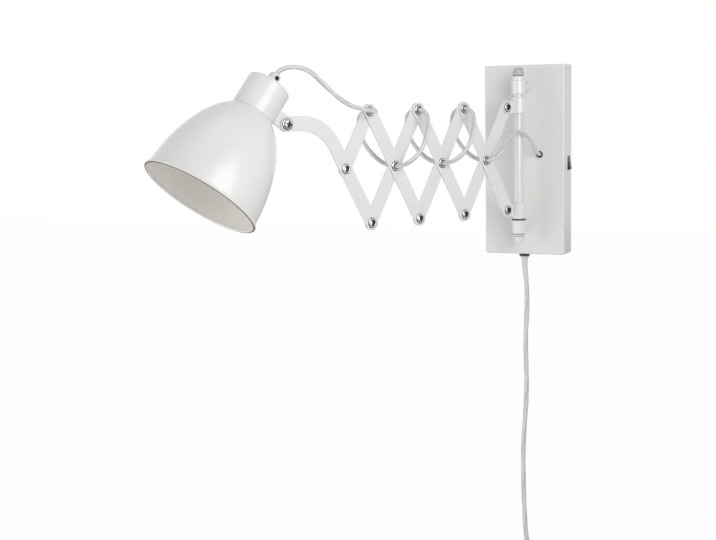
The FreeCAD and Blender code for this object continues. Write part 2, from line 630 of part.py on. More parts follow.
def rear_loop(i):
    """From top rivet i down to middle rivet i, on the rear."""
    points = loop_points(top_rivet(i), middle_rivet(i), 1, -1)
    return placed(cord(f"rear loop {i}", points, ARM_CORD_RADIUS), ARM)


def wall_loop():
    """From the first middle rivet, over the front of the rod, into the box's face."""
    start = ARM.multVec(middle_rivet(1))
    out = REAR * -1
    points = [start, start + out * 17.0, V(-2.5, -92.0, 27.5), V(5.0, -75.0, 38.5),
              V(14.5, -56.0, 28.5), V(BUSH_X, -44.0, BUSH_Z), V(BUSH_X, -BOX_DEPTH + 4.4, BUSH_Z)]
    return cord("wall loop", points, ARM_CORD_RADIUS)


def head_loop():
    """From the cord grip on the shade's neck over to the last top rivet."""
    grip_top = HEAD.multVec(V(0, 0, NECK_LENGTH + GRIP_LENGTH))
    up = HEAD.Rotation.multVec(Z_AXIS)
    rivet = top_rivet(CELLS)
    arm_points = [V(308.0, 112.5, -6.0), V(287.0, 92.5, -10.5), V(266.0, 74.0, -15.0),
                  V(243.0, 66.5, -18.0), rivet + V(0, 0, -20.0), rivet]
    points = [grip_top, grip_top + up * 9.0] + [ARM.multVec(p) for p in arm_points]
    return cord("head loop", points, ARM_CORD_RADIUS)


# ---- head ---------------------------------------------------------------------------------
def bell_ellipse(trim):
    """Quarter-ellipse that the bell follows, drawn in by trim."""
    level = -BELL_LENGTH - BELL_LEVEL
    wide = BELL_RADIUS - trim
    rise = -level / math.sqrt(1 - (NECK_RADIUS / BELL_RADIUS) ** 2) - trim
    curve = Part.Ellipse(V(0, 0, level + rise), V(wide, 0, level), V(0, 0, level))

    def at(height):
        return V(wide * math.sqrt(1 - ((height - level) / rise) ** 2), 0, height)

    return curve, at


def shade():
    """Spun bell with a rolled rim and a short spigot that fits inside the neck."""
    outer, outer_at = bell_ellipse(0)
    inner, inner_at = bell_ellipse(SHADE_SHEET)
    spigot = NECK_RADIUS - NECK_SHEET
    rim = -BELL_LENGTH + BEAD_RADIUS

    def arc(curve, top, bottom):
        span = sorted((curve.parameter(top), curve.parameter(bottom)))
        return Part.ArcOfEllipse(curve, *span).toShape()

    top_out, bottom_out = outer_at(0), outer_at(rim)
    top_in, bottom_in = inner_at(-SHADE_SHEET), inner_at(rim)
    corner = V(spigot - SHADE_SHEET, 0, SPIGOT_HEIGHT)
    edges = [arc(outer, top_out, bottom_out), Part.makeLine(bottom_out, bottom_in),
             arc(inner, top_in, bottom_in), Part.makeLine(top_in, V(corner.x, 0, -SHADE_SHEET)),
             Part.makeLine(V(corner.x, 0, -SHADE_SHEET), corner),
             Part.makeLine(corner, V(spigot, 0, SPIGOT_HEIGHT)),
             Part.makeLine(V(spigot, 0, SPIGOT_HEIGHT), V(spigot, 0, 0)),
             Part.makeLine(V(spigot, 0, 0), top_out)]
    bell = Part.Face(Part.Wire(Part.__sortEdges__(edges))).revolve(V(0, 0, 0), Z_AXIS, 360)
    bead = Part.makeTorus(bottom_out.x + BEAD_RADIUS * 0.55, BEAD_RADIUS, V(0, 0, rim))
    return placed(bell.fuse(bead).removeSplitter(), HEAD)


def shade_neck():
    """Deep-drawn cup over the bell's spigot, closed at the top round the nipple."""
    outer = rod(NECK_RADIUS, V(0, 0, 0), V(0, 0, NECK_LENGTH))
    outer = fillet_where(outer, NECK_ROUND, lambda b: b.ZMin > NECK_LENGTH - 1e-6)
    inner = rod(NECK_RADIUS - NECK_SHEET, V(0, 0, -1), V(0, 0, NECK_LENGTH - NECK_SHEET))
    hole = rod(NIPPLE_RADIUS, V(0, 0, 0), V(0, 0, NECK_LENGTH + 1))
    cup = outer.cut(inner).cut(hole)
    for angle in RIVET_ANGLES:
        cup = cup.cut(rod(LUG_RIVET_RADIUS, V(0, 0, JOINT_HEIGHT), radial(angle, 40.0)))
    return placed(cup, HEAD)


RIVET_ANGLES = (196.0, 207.0)


def radial(angle, radius):
    a = math.radians(angle)
    return V(radius * math.cos(a), radius * math.sin(a), JOINT_HEIGHT)


def head_lug():
    """Ear on the neck's side, bent round to a foot that is riveted to the neck."""
    half = LINK_WIDTH / 2
    joint = V(-JOINT_OFFSET, 0, JOINT_HEIGHT)
    ear = rod(half, joint - V(0, NEAR_FACE, 0), joint - V(0, NEAR_FACE + LUG_THICKNESS, 0))
    ear = ear.fuse(block(joint + V(0, -NEAR_FACE - LUG_THICKNESS, -half),
                         V(-NECK_RADIUS - 0.1, -NEAR_FACE, JOINT_HEIGHT + half)))
    low = V(0, 0, JOINT_HEIGHT - half)
    foot = Part.makeCylinder(NECK_RADIUS + LUG_FOOT, LINK_WIDTH, low, Z_AXIS, LUG_FOOT_ANGLE)
    foot.rotate(V(0, 0, 0), Z_AXIS, 180)
    core = rod(NECK_RADIUS, low - Z_AXIS, low + Z_AXIS * (LINK_WIDTH + 1))
    solid = ear.fuse(foot).cut(core)
    solid = solid.cut(rod(TILT_SCREW_RADIUS, joint - Y_AXIS * 9, joint + Y_AXIS * 9))
    for angle in RIVET_ANGLES:
        solid = solid.cut(rod(LUG_RIVET_RADIUS, V(0, 0, JOINT_HEIGHT), radial(angle, 40.0)))
    return placed(solid.removeSplitter(), HEAD)


def lug_rivets():
    inside = NECK_RADIUS - NECK_SHEET
    tail = NECK_RADIUS + LUG_FOOT - math.sqrt(inside ** 2 - LUG_RIVET_TAIL ** 2) + 0.02
    outline = [(0, -1.3), (1.6, -1.2), (2.6, -0.5), (2.8, 0), (LUG_RIVET_RADIUS, 0),
               (LUG_RIVET_RADIUS, tail), (LUG_RIVET_TAIL, tail), (LUG_RIVET_TAIL - 0.3, tail + 0.9),
               (0, tail + 0.9)]
    solids = []
    for angle in RIVET_ANGLES:
        seat = radial(angle, NECK_RADIUS + LUG_FOOT)
        solids.append(lathe(outline, seat, V(0, 0, JOINT_HEIGHT) - seat))
    return placed(Part.makeCompound(solids), HEAD)


def tilt_screw():
    """Cross-head screw with its washer, through the end link and the lug."""
    face = V(TILT_JOINT.x, TILT_JOINT.y, -FAR_FACE - RUN_GAP)
    washer = tube(TILT_WASHER_RADIUS, TILT_SCREW_RADIUS, face, face - Z_AXIS * TILT_WASHER)
    seat = face - Z_AXIS * TILT_WASHER
    length = TILT_WASHER + RUN_GAP + FAR_FACE + NEAR_FACE + LUG_THICKNESS + NUT_HEIGHT + 1.5
    screw = pan_screw(seat, Z_AXIS, TILT_HEAD_RADIUS, TILT_HEAD, TILT_SCREW_RADIUS, length)
    for angle in (30, 120):
        bar = block(V(-2.8, -0.5, -TILT_HEAD - 1), V(2.8, 0.5, -TILT_HEAD + 1.3))
        bar.rotate(V(0, 0, 0), Z_AXIS, angle)
        bar.translate(seat)
        screw = screw.cut(bar)
    return placed(Part.makeCompound([screw, washer]), ARM)


def tilt_nut():
    seat = V(TILT_JOINT.x, TILT_JOINT.y, NEAR_FACE + LUG_THICKNESS)
    corner = NUT_ACROSS / math.sqrt(3)
    ring = [seat + V(corner * math.cos(math.radians(a)), corner * math.sin(math.radians(a)), 0)
            for a in range(0, 360, 60)]
    nut = Part.Face(Part.makePolygon(ring + ring[:1])).extrude(Z_AXIS * NUT_HEIGHT)
    return placed(pierced(nut, seat, TILT_SCREW_RADIUS), ARM)


def cord_grip():
    """Cord grip on the neck's roof: waisted foot, round body and a side hole for its screw."""
    top, bore = NECK_LENGTH + GRIP_LENGTH, ARM_CORD_RADIUS + CORD_GAP
    outline = [(NIPPLE_RADIUS, NECK_LENGTH), (GRIP_WAIST + 1.6, NECK_LENGTH),
               (GRIP_WAIST + 1.2, NECK_LENGTH + 2.0), (GRIP_RADIUS, NECK_LENGTH + 4.5),
               (GRIP_RADIUS, top - 2.5), (GRIP_RADIUS - 0.8, top - 0.9), (GRIP_RADIUS - 2.2, top),
               (bore, top), (bore, NECK_LENGTH + NIPPLE_REACH), (NIPPLE_RADIUS, NECK_LENGTH + NIPPLE_REACH)]
    body = lathe(outline)
    middle = V(0, 0, NECK_LENGTH + NIPPLE_REACH + 2.6)
    body = body.cut(rod(GRIP_SCREW_RADIUS, middle, middle + Y_AXIS * 9))
    return placed(body, HEAD)


def grip_screw():
    middle = V(0, 0, NECK_LENGTH + NIPPLE_REACH + 2.6)
    screw = rod(GRIP_SCREW_RADIUS, middle + Y_AXIS * (ARM_CORD_RADIUS + 0.1),
                middle + Y_AXIS * (GRIP_RADIUS + 0.4))
    socket = rod(1.1, middle + Y_AXIS * (GRIP_RADIUS - 1.4), middle + Y_AXIS * 9)
    return placed(screw.cut(socket), HEAD)


def threaded_nipple():
    """Threaded tube that joins grip, neck and lampholder, with its nut under the roof."""
    roof = NECK_LENGTH - NECK_SHEET
    low = roof - HOLDER_TOP_GAP - NIPPLE_REACH
    pipe = tube(NIPPLE_RADIUS, NIPPLE_BORE, V(0, 0, low), V(0, 0, NECK_LENGTH + NIPPLE_REACH))
    nut = tube(7.5, NIPPLE_RADIUS, V(0, 0, roof - 2.5), V(0, 0, roof))
    return placed(Part.makeCompound([pipe, nut]), HEAD)


HOLDER_TOP = NECK_LENGTH - NECK_SHEET - HOLDER_TOP_GAP


def lampholder():
    """Moulded lampholder: crown, shoulder and a plain skirt, with the socket open below."""
    low = HOLDER_TOP - HOLDER_LENGTH
    well = low + SOCKET_DEPTH
    outline = [(NIPPLE_RADIUS, HOLDER_TOP), (9.0, HOLDER_TOP), (10.0, HOLDER_TOP - 6.0),
               (HOLDER_RADIUS - 2.0, HOLDER_TOP - 12.0), (HOLDER_RADIUS, HOLDER_TOP - 15.0),
               (HOLDER_RADIUS, low + 1.5), (HOLDER_RADIUS - 1.0, low), (SOCKET_RADIUS, low),
               (SOCKET_RADIUS, well), (CONTACT_WELL_RADIUS, well),
               (CONTACT_WELL_RADIUS, well + CONTACT_WELL_DEPTH), (NIPPLE_BORE, well + CONTACT_WELL_DEPTH),
               (NIPPLE_BORE, HOLDER_TOP - NIPPLE_REACH),
               (NIPPLE_RADIUS, HOLDER_TOP - NIPPLE_REACH)]
    return placed(lathe(outline), HEAD)


def lampholder_contacts():
    """Centre contact and side contact in the shallow well behind the thread."""
    floor = HOLDER_TOP - HOLDER_LENGTH + SOCKET_DEPTH + CONTACT_WELL_DEPTH
    centre = rod(3.8, V(0, 0, floor - 2.6), V(0, 0, floor))
    side = block(V(6.5, -2.5, floor - 2.0), V(11.5, 2.5, floor))
    return placed(Part.makeCompound([centre, side]), HEAD)


def head_lead():
    """Arm cord's last stretch, from the grip's mouth down through the nipple."""
    return placed(rod(ARM_CORD_RADIUS, V(0, 0, HOLDER_TOP - NIPPLE_REACH - 4.0),
                      V(0, 0, NECK_LENGTH + GRIP_LENGTH)), HEAD)


# ---- mains cord ------------------------------------------------------------------------------
HANGING_ROUTE = [
    V(GLAND_X, GLAND_Y, -BOX_TOP + 4.0), V(GLAND_X, GLAND_Y, -BOX_TOP - 17.0),
    V(-1.6, -17.6, -152.0), V(-1.4, -17.2, -188.0), V(-4.0, -16.4, -228.0),
    V(-2.6, -15.6, -272.0), V(-3.4, -15.8, -312.0), V(-6.6, -16.8, -352.0),
    V(-7.2, -16.6, -398.0), V(-6.4, -14.8, -447.0), V(-4.0, -13.6, -497.0)]
COIL_START_ANGLE = 45.0


def coil_frame():
    """Where the coil begins, and the point about which it winds."""
    angle = math.radians(COIL_START_ANGLE)
    heading = V(math.sin(angle), 0, -math.cos(angle))
    start = HANGING_ROUTE[-1] + heading * 26.0
    centre = start - V(math.cos(angle), 0, math.sin(angle)) * COIL_OUTER
    return start, heading, centre


def coil_point(turn):
    """Point of the coil after a number of turns: inward on one layer, outward on the next."""
    centre = coil_frame()[2]
    half = COIL_TURNS / 2
    radius = COIL_OUTER - COIL_PITCH * (half - abs(half - turn))
    angle = math.radians(COIL_START_ANGLE) - 2 * math.pi * turn
    climb = min(max((turn - half) / 0.5 + 0.5, 0.0), 1.0)
    step = climb * climb * (3 - 2 * climb)
    return centre + V(radius * math.cos(angle), -COIL_LAYER * step, radius * math.sin(angle))


def coil_heading(turn):
    nudge = 1e-4
    return (coil_point(turn + nudge) - coil_point(turn - nudge)).normalize()


def biarc(start, start_dir, end, end_dir):
    """Two arcs that join two points smoothly in their given directions."""
    span = end - start
    total = start_dir + end_dir
    grow = 2 * (1 - start_dir.dot(end_dir))
    along = span.dot(total)
    reach = (-along + math.sqrt(along ** 2 + grow * span.dot(span))) / grow
    joint = (start + start_dir * reach + end - end_dir * reach) * 0.5
    return [half_arc(start, start + start_dir * reach, joint),
            half_arc(joint, end - end_dir * reach, end)]


def half_arc(start, corner, end):
    """Arc from start to end whose end tangents meet at corner."""
    chord_middle = (start + end) * 0.5
    cosine = (end - start).Length / 2 / start.distanceToPoint(corner)
    middle = chord_middle + (corner - chord_middle) * (cosine / (1 + cosine))
    return Part.Arc(start, middle, end).toShape()


def coil_wire():
    """Centre line of the coil, from its straight start to its straight end."""
    start, heading, _ = coil_frame()
    knots = [0.25 * k for k in range(int(COIL_TURNS / 0.25) + 1)]
    if COIL_TURNS - knots[-1] > 1e-6:
        knots.append(COIL_TURNS)
    points = [coil_point(t) for t in knots]
    headings = [coil_heading(t) for t in knots]
    headings[0] = heading
    edges = [Part.makeLine(HANGING_ROUTE[-1] + heading * 20.0, start)]
    for k in range(len(knots) - 1):
        edges += biarc(points[k], headings[k], points[k + 1], headings[k + 1])
    edges.append(Part.makeLine(points[-1], points[-1] + headings[-1] * COIL_TAIL))
    return Part.Wire(edges), headings[-1]


COIL_TAIL = 30.0


def coil_gap(wire):
    """Least distance between the surfaces of neighbouring turns, measured on points."""
    points = wire.discretize(Number=900)
    step = wire.Length / 899
    skip = int(12 * MAINS_CORD_RADIUS / step)
    least = min(points[i].distanceToPoint(points[j])
                for i in range(len(points)) for j in range(i + skip, len(points)))
    return least - 2 * MAINS_CORD_RADIUS


def mains_cord():
    heading = coil_frame()[1]
    points = HANGING_ROUTE + [HANGING_ROUTE[-1] + heading * 20.0]
    return cord("mains cord", points, MAINS_CORD_RADIUS)


def mains_cord_coil():
    wire, _ = coil_wire()
    heading = coil_frame()[1]
    solid = cord_along(wire, MAINS_CORD_RADIUS, HANGING_ROUTE[-1] + heading * 20.0, heading)
    share = solid.Volume / (math.pi * MAINS_CORD_RADIUS ** 2 * wire.Length)
    print(f"coil: length {wire.Length:.0f}, volume share {share:.4f}, least gap {coil_gap(wire):.2f}")
    return solid


def coil_tie():
    """Tie round all the turns, on the side away from the wound-off ends."""
    centre = coil_frame()[2]
    inner = COIL_OUTER - COIL_PITCH * COIL_TURNS / 2
    low = V(-COIL_OUTER - MAINS_CORD_RADIUS - 0.4, -COIL_LAYER - MAINS_CORD_RADIUS - 0.4, -6.0)
    high = V(-inner + MAINS_CORD_RADIUS + 0.4, MAINS_CORD_RADIUS + 0.4, 6.0)
    skin = V(1.2, 1.2, 0)
    band = fillet_where(block(low - skin, high + skin), 3.0, lambda b: b.ZLength > 11)
    band = band.cut(fillet_where(block(low, high), 2.0, lambda b: b.ZLength > 11))
    band.translate(centre)
    return band


def plug_frame():
    """Placement of the plug: Z along the pins, the plug's width along the row's Y."""
    wire, heading = coil_wire()
    end = wire.Vertexes[-1].Point
    candidates = [v.Point for v in wire.Vertexes]
    end = min(candidates, key=lambda p: p.distanceToPoint(coil_point(COIL_TURNS) + heading * COIL_TAIL))
    across = Y_AXIS.cross(heading).normalize()
    return frame(end, Y_AXIS, across * -1, heading)


PLUG_WIDTH, PLUG_THICKNESS, PLUG_LENGTH = 35.3, 13.7, 36.0
PIN_RADIUS, PIN_LENGTH, PIN_SPACING = 2.0, 19.0, 19.0
PIN_ROOT_RADIUS, PIN_ROOT = 1.4, 8.0     # thinner root, moulded into the plug


def mains_plug():
    """Flat two-pin plug: tapered sleeve for the cord, waisted grip and an oblong face."""
    def section(height, width, thickness):
        half, arc = (width - thickness) / 2, thickness / 2
        return Part.Wire([
            Part.makeLine(V(-half, -arc, height), V(half, -arc, height)),
            Part.Arc(V(half, -arc, height), V(half + arc, 0, height), V(half, arc, height)).toShape(),
            Part.makeLine(V(half, arc, height), V(-half, arc, height)),
            Part.Arc(V(-half, arc, height), V(-half - arc, 0, height), V(-half, -arc, height)).toShape()])

    grip = Part.makeLoft([section(10.0, 15.0, 9.0), section(22.0, 24.0, 10.5),
                          section(30.0, PLUG_WIDTH, PLUG_THICKNESS)], True, True)
    face = Part.makeLoft([section(30.0, PLUG_WIDTH, PLUG_THICKNESS),
                          section(PLUG_LENGTH, PLUG_WIDTH, PLUG_THICKNESS)], True, True)
    sleeve = Part.makeCone(4.1, 4.5, 11.0, V(0, 0, -1.0))
    body = grip.fuse(face).fuse(sleeve)
    body = body.cut(rod(MAINS_CORD_RADIUS, V(0, 0, -2.0), V(0, 0, 0)))
    for x in (-PIN_SPACING / 2, PIN_SPACING / 2):
        body = body.cut(rod(PIN_ROOT_RADIUS, V(x, 0, PLUG_LENGTH - PIN_ROOT), V(x, 0, PLUG_LENGTH + 1)))
    return placed(body.removeSplitter(), plug_frame())


def plug_pins():
    tip = PLUG_LENGTH + PIN_LENGTH
    outline = [(0, PLUG_LENGTH - PIN_ROOT), (PIN_ROOT_RADIUS, PLUG_LENGTH - PIN_ROOT),
               (PIN_ROOT_RADIUS, PLUG_LENGTH), (PIN_RADIUS, PLUG_LENGTH), (PIN_RADIUS, tip - 1.0),
               (PIN_RADIUS - 0.8, tip), (0, tip)]
    return placed(Part.makeCompound([lathe(outline, V(x, 0, 0))
                                     for x in (-PIN_SPACING / 2, PIN_SPACING / 2)]), plug_frame())


# ---- all the pieces --------------------------------------------------------------------------
def pieces():
    """Every node's name with its shape."""
    parts = {
        "wall_cover": wall_cover(), "mounting_plate": mounting_plate(), "cover_screws": cover_screws(),
        "lower_bracket": bracket(LOWER_POST), "upper_bracket": bracket(UPPER_POST),
        "bracket_screws": bracket_screws(), "pivot_rod": pivot_rod(), "rod_end_caps": rod_end_caps(),
        "thrust_washer": thrust_washer(), "switch_housing": switch_housing(),
        "switch_rocker": switch_rocker(), "switch_contacts": switch_contacts(),
        "face_bush": face_bush(), "cord_gland": cord_gland(), "terminal_block": terminal_block(),
        "terminal_screws": terminal_screws(), "cord_clamp": cord_clamp(),
        "clamp_screws": clamp_screws(), "inner_leads": inner_leads(),
        "lower_collar": collar(bottom_rivet(0), -1, 1), "upper_collar": collar(top_rivet(0), 1, -1),
        "upper_collar_eyelet": eyelets(top_rivet(0)),
        "rear_short_link": straight_link(top_rivet(CELLS), middle_rivet(CELLS + 1),
                                         [top_rivet(CELLS), middle_rivet(CELLS + 1)], 1),
        "end_link": end_link(),
        "end_link_eyelets": eyelets(middle_rivet(CELLS + 1), bottom_rivet(CELLS)),
        "arm_cord_wall_loop": wall_loop(), "arm_cord_head_loop": head_loop(),
        "shade": shade(), "shade_neck": shade_neck(), "head_lug": head_lug(),
        "lug_rivets": lug_rivets(), "tilt_screw": tilt_screw(), "tilt_nut": tilt_nut(),
        "cord_grip": cord_grip(), "grip_screw": grip_screw(), "threaded_nipple": threaded_nipple(),
        "lampholder": lampholder(), "lampholder_contacts": lampholder_contacts(),
        "head_lead": head_lead(), "mains_cord": mains_cord(), "mains_cord_coil": mains_cord_coil(),
        "coil_tie": coil_tie(), "mains_plug": mains_plug(), "plug_pins": plug_pins()}
    for i in range(1, CELLS + 1):
        parts[f"front_link_{i}"] = straight_link(
            bottom_rivet(i - 1), top_rivet(i), [bottom_rivet(i - 1), middle_rivet(i), top_rivet(i)], -1)
        parts[f"rear_link_{i}"] = straight_link(
            top_rivet(i - 1), bottom_rivet(i), [top_rivet(i - 1), middle_rivet(i), bottom_rivet(i)], 1)
        parts[f"front_link_{i}_eyelets"] = eyelets(bottom_rivet(i - 1), middle_rivet(i), top_rivet(i))
        parts[f"arm_cord_rear_{i}"] = rear_loop(i)
    for i in range(1, CELLS):
        parts[f"arm_cord_front_{i}"] = front_loop(i)
    return parts


os.makedirs("parts", exist_ok=True)
for name, shape in pieces().items():
    if not shape.isValid():
        print("not valid:", name)
    shape.exportStep(f"parts/{name}.step")
print("tilt joint", ARM.multVec(TILT_JOINT), "box height", BOX_HEIGHT)
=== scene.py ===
import math

import bpy
import numpy as np
from mathutils import Matrix, Vector


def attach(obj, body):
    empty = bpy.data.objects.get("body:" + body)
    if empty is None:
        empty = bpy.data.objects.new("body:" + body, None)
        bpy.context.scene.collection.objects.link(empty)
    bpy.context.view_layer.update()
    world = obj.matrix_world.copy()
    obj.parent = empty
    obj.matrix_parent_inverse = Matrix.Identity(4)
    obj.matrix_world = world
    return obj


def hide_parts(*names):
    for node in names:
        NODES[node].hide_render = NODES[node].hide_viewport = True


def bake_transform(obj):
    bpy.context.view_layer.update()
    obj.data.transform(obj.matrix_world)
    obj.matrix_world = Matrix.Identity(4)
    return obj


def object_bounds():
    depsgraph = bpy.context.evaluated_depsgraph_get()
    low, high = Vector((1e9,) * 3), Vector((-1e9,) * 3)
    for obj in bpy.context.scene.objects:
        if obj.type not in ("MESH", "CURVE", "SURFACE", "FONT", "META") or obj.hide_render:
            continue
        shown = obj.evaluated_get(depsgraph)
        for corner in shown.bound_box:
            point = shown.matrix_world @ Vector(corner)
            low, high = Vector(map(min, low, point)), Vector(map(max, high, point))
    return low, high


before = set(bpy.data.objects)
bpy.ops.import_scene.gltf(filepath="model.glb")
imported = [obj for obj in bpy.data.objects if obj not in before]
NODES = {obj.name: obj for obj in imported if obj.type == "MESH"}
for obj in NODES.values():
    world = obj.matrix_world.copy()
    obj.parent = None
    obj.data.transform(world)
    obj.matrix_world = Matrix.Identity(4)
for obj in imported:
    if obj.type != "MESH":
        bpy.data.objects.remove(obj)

CAD_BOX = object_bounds()
MM, CM = 0.001, 0.01
ASKEW = np.array([0.31, 0.57, 0.76])      # direction that no axis and no cord here has

# ---- sizes repeated from the part's source, in millimetres -----------------------------
BOX_TOP = 115.0
ROD_Y = -57.0
LINK_HALF = 70.0                          # a link's middle hole to its end holes
FOLD = math.radians(29.0)                 # link to the vertical
SWING = math.radians(60.0)                # arm to the wall
EAR = 19.0                                # rod's axis to the first rivets
BASE_Z = -57.5033                         # height of the bottom rivets
TILT = math.radians(38.0)                 # shade's axis to the vertical
TILT_ALONG, TILT_RISE = 74.0, 50.1        # last middle rivet to the tilt joint
JOINT_OFFSET, JOINT_HEIGHT = 39.9, 16.8   # tilt joint from the shade's axis, and above the neck's seat
NECK_RADIUS, NECK_LENGTH, NECK_SHEET = 23.5, 37.0, 1.2
BELL_RADIUS, BELL_LENGTH, SHADE_SHEET = 61.5, 104.0, 1.0
BELL_WIDEST = 106.0                       # below the neck's seat, where the bell would be widest
BEAD_RADIUS = 1.7                         # rolled rim
SPIGOT_HEIGHT = 8.0
ARM_CORD_RADIUS, MAINS_CORD_RADIUS = 2.5, 3.0
BUSH_X, BUSH_Z = 19.5, 7.4                # where the arm cord enters the box
LOOP_OUT, LOOP_SAG = 25.0, 9.0            # the arm cord's loops out of the arm, and off the straight line
COIL_OUTER, COIL_PITCH, COIL_LAYER, COIL_TURNS = 46.0, 7.0, 6.8, 6.125

# a link's middle to its end, along the arm and up, and the arm's own directions
STEP, RISE = LINK_HALF * math.sin(FOLD), LINK_HALF * math.cos(FOLD)
ALONG = np.array([-math.cos(SWING), -math.sin(SWING), 0.0])
FRONT = np.array([math.sin(SWING), -math.cos(SWING), 0.0])
UP = np.array([0.0, 0.0, 1.0])


def arm(along, height, out=0.0):
    """Point of the arm: out is the distance to the front of its middle plane."""
    return np.array([0.0, ROD_Y, 0.0]) + ALONG * along + UP * height + FRONT * out


def bottom_rivet(i):
    return EAR + 2 * i * STEP, BASE_Z


def top_rivet(i):
    return EAR + 2 * i * STEP, BASE_Z + 2 * RISE


def middle_rivet(i):
    return EAR + (2 * i - 1) * STEP, BASE_Z + RISE


PIVOT = arm(middle_rivet(4)[0] + TILT_ALONG, middle_rivet(4)[1] + TILT_RISE)
SHADE_UP = ALONG * -math.sin(TILT) + UP * math.cos(TILT)
SHADE_OUT = ALONG * math.cos(TILT) + UP * math.sin(TILT)
NECK_SEAT = PIVOT + SHADE_OUT * JOINT_OFFSET - SHADE_UP * JOINT_HEIGHT


def head(x, y, z):
    """Point of the head: z runs up the shade's axis from the neck's seat."""
    return NECK_SEAT + SHADE_OUT * x + FRONT * y + SHADE_UP * z


# ---- camera ------------------------------------------------------------------------------
AZIMUTH, ELEVATION, ROLL = (math.radians(a) for a in (23.99, 7.8, -1.21))
DISTANCE = 1.50962                        # camera to the middle of the picture, in metres
BOX_FACE = (0, -0.033, 0)
PICTURE_MIDDLE = (-0.20291, -0.13372)     # from the box's face, to the right and up
FOCAL_PIXELS, PICTURE_WIDTH, SENSOR_WIDTH = 1236.73, 716, 36.0


def make_camera():
    back = Vector((math.sin(AZIMUTH) * math.cos(ELEVATION), -math.cos(AZIMUTH) * math.cos(ELEVATION),
                   math.sin(ELEVATION)))
    right = (-back).cross(Vector((0, 0, 1))).normalized()
    up = right.cross(-back)
    right, up = (right * math.cos(ROLL) + up * math.sin(ROLL),
                 up * math.cos(ROLL) - right * math.sin(ROLL))
    middle = Vector(BOX_FACE) + right * PICTURE_MIDDLE[0] + up * PICTURE_MIDDLE[1]
    data = bpy.data.cameras.new("camera")
    data.sensor_width = SENSOR_WIDTH
    data.lens = FOCAL_PIXELS / PICTURE_WIDTH * SENSOR_WIDTH
    camera = bpy.data.objects.new("camera", data)
    bpy.context.scene.collection.objects.link(camera)
    turn = Matrix((right, up, back)).transposed().to_4x4()
    camera.matrix_world = Matrix.Translation(middle + back * DISTANCE) @ turn
    bpy.context.scene.camera = camera


make_camera()


# ---- materials ---------------------------------------------------------------------------
def material(name, color, roughness, metallic=0.0, speck=0.02, scale=60.0, bump=0.02, bump_scale=900.0,
             rough_spread=0.08, **sockets):
    """Principled surface with a little uneven colour, gloss and a fine bump."""
    m = bpy.data.materials.new(name)
    m.use_nodes = True
    tree = m.node_tree
    shader = tree.nodes["Principled BSDF"]
    shader.inputs["Metallic"].default_value = metallic
    for key, value in sockets.items():
        shader.inputs[key.replace("_", " ")].default_value = value
    coord = tree.nodes.new("ShaderNodeTexCoord")
    noise = tree.nodes.new("ShaderNodeTexNoise")
    noise.inputs["Scale"].default_value = scale
    noise.inputs["Detail"].default_value = 5.0
    tree.links.new(coord.outputs["Object"], noise.inputs["Vector"])
    ramp = tree.nodes.new("ShaderNodeValToRGB")
    ramp.color_ramp.elements[0].position, ramp.color_ramp.elements[1].position = 0.3, 0.7
    ramp.color_ramp.elements[0].color = (*[c * (1 - speck) for c in color], 1)
    ramp.color_ramp.elements[1].color = (*[min(1, c * (1 + speck)) for c in color], 1)
    tree.links.new(noise.outputs["Fac"], ramp.inputs["Fac"])
    tree.links.new(ramp.outputs["Color"], shader.inputs["Base Color"])
    spread = tree.nodes.new("ShaderNodeMapRange")
    spread.inputs["To Min"].default_value = max(0.02, roughness - rough_spread)
    spread.inputs["To Max"].default_value = roughness + rough_spread
    tree.links.new(noise.outputs["Fac"], spread.inputs["Value"])
    tree.links.new(spread.outputs["Result"], shader.inputs["Roughness"])
    fine = tree.nodes.new("ShaderNodeTexNoise")
    fine.inputs["Scale"].default_value = bump_scale
    fine.inputs["Detail"].default_value = 2.0
    tree.links.new(coord.outputs["Object"], fine.inputs["Vector"])
    relief = tree.nodes.new("ShaderNodeBump")
    relief.inputs["Strength"].default_value = bump
    relief.inputs["Distance"].default_value = 0.0005
    tree.links.new(fine.outputs["Fac"], relief.inputs["Height"])
    tree.links.new(relief.outputs["Normal"], shader.inputs["Normal"])
    return m


def cord_material():
    """Soft clear sheath over two twisted cores, with painted shade along the grooves where the cores meet."""
    m = material("clear_cord", (0.74, 0.735, 0.755), 0.3, speck=0.03, scale=160, bump=0.05,
                 Transmission_Weight=0.08, IOR=1.5, Coat_Weight=0.2, Coat_Roughness=0.15)
    tree = m.node_tree
    shader = tree.nodes["Principled BSDF"]
    base = shader.inputs["Base Color"].links[0].from_socket
    coord = tree.nodes.new("ShaderNodeUVMap")
    coord.uv_map = "lay"
    split = tree.nodes.new("ShaderNodeSeparateXYZ")
    tree.links.new(coord.outputs["UV"], split.inputs[0])
    groove_shade_wave = tree.nodes.new("ShaderNodeMath")
    groove_shade_wave.operation = "PINGPONG"
    groove_shade_wave.inputs[1].default_value = 0.5
    tree.links.new(split.outputs["X"], groove_shade_wave.inputs[0])
    # darkest at the bottom of each groove: painted shade
    ramp = tree.nodes.new("ShaderNodeValToRGB")
    for element, (at, grey) in zip(ramp.color_ramp.elements, ((0.02, 0.70), (0.12, 1.0))):
        element.position, element.color = at, (grey, grey, grey, 1)
    tree.links.new(groove_shade_wave.outputs[0], ramp.inputs["Fac"])
    mix = tree.nodes.new("ShaderNodeMixRGB")
    mix.blend_type = "MULTIPLY"
    mix.inputs["Fac"].default_value = 1.0
    tree.links.new(base, mix.inputs["Color1"])
    tree.links.new(ramp.outputs["Color"], mix.inputs["Color2"])
    tree.links.new(mix.outputs["Color"], shader.inputs["Base Color"])
    return m


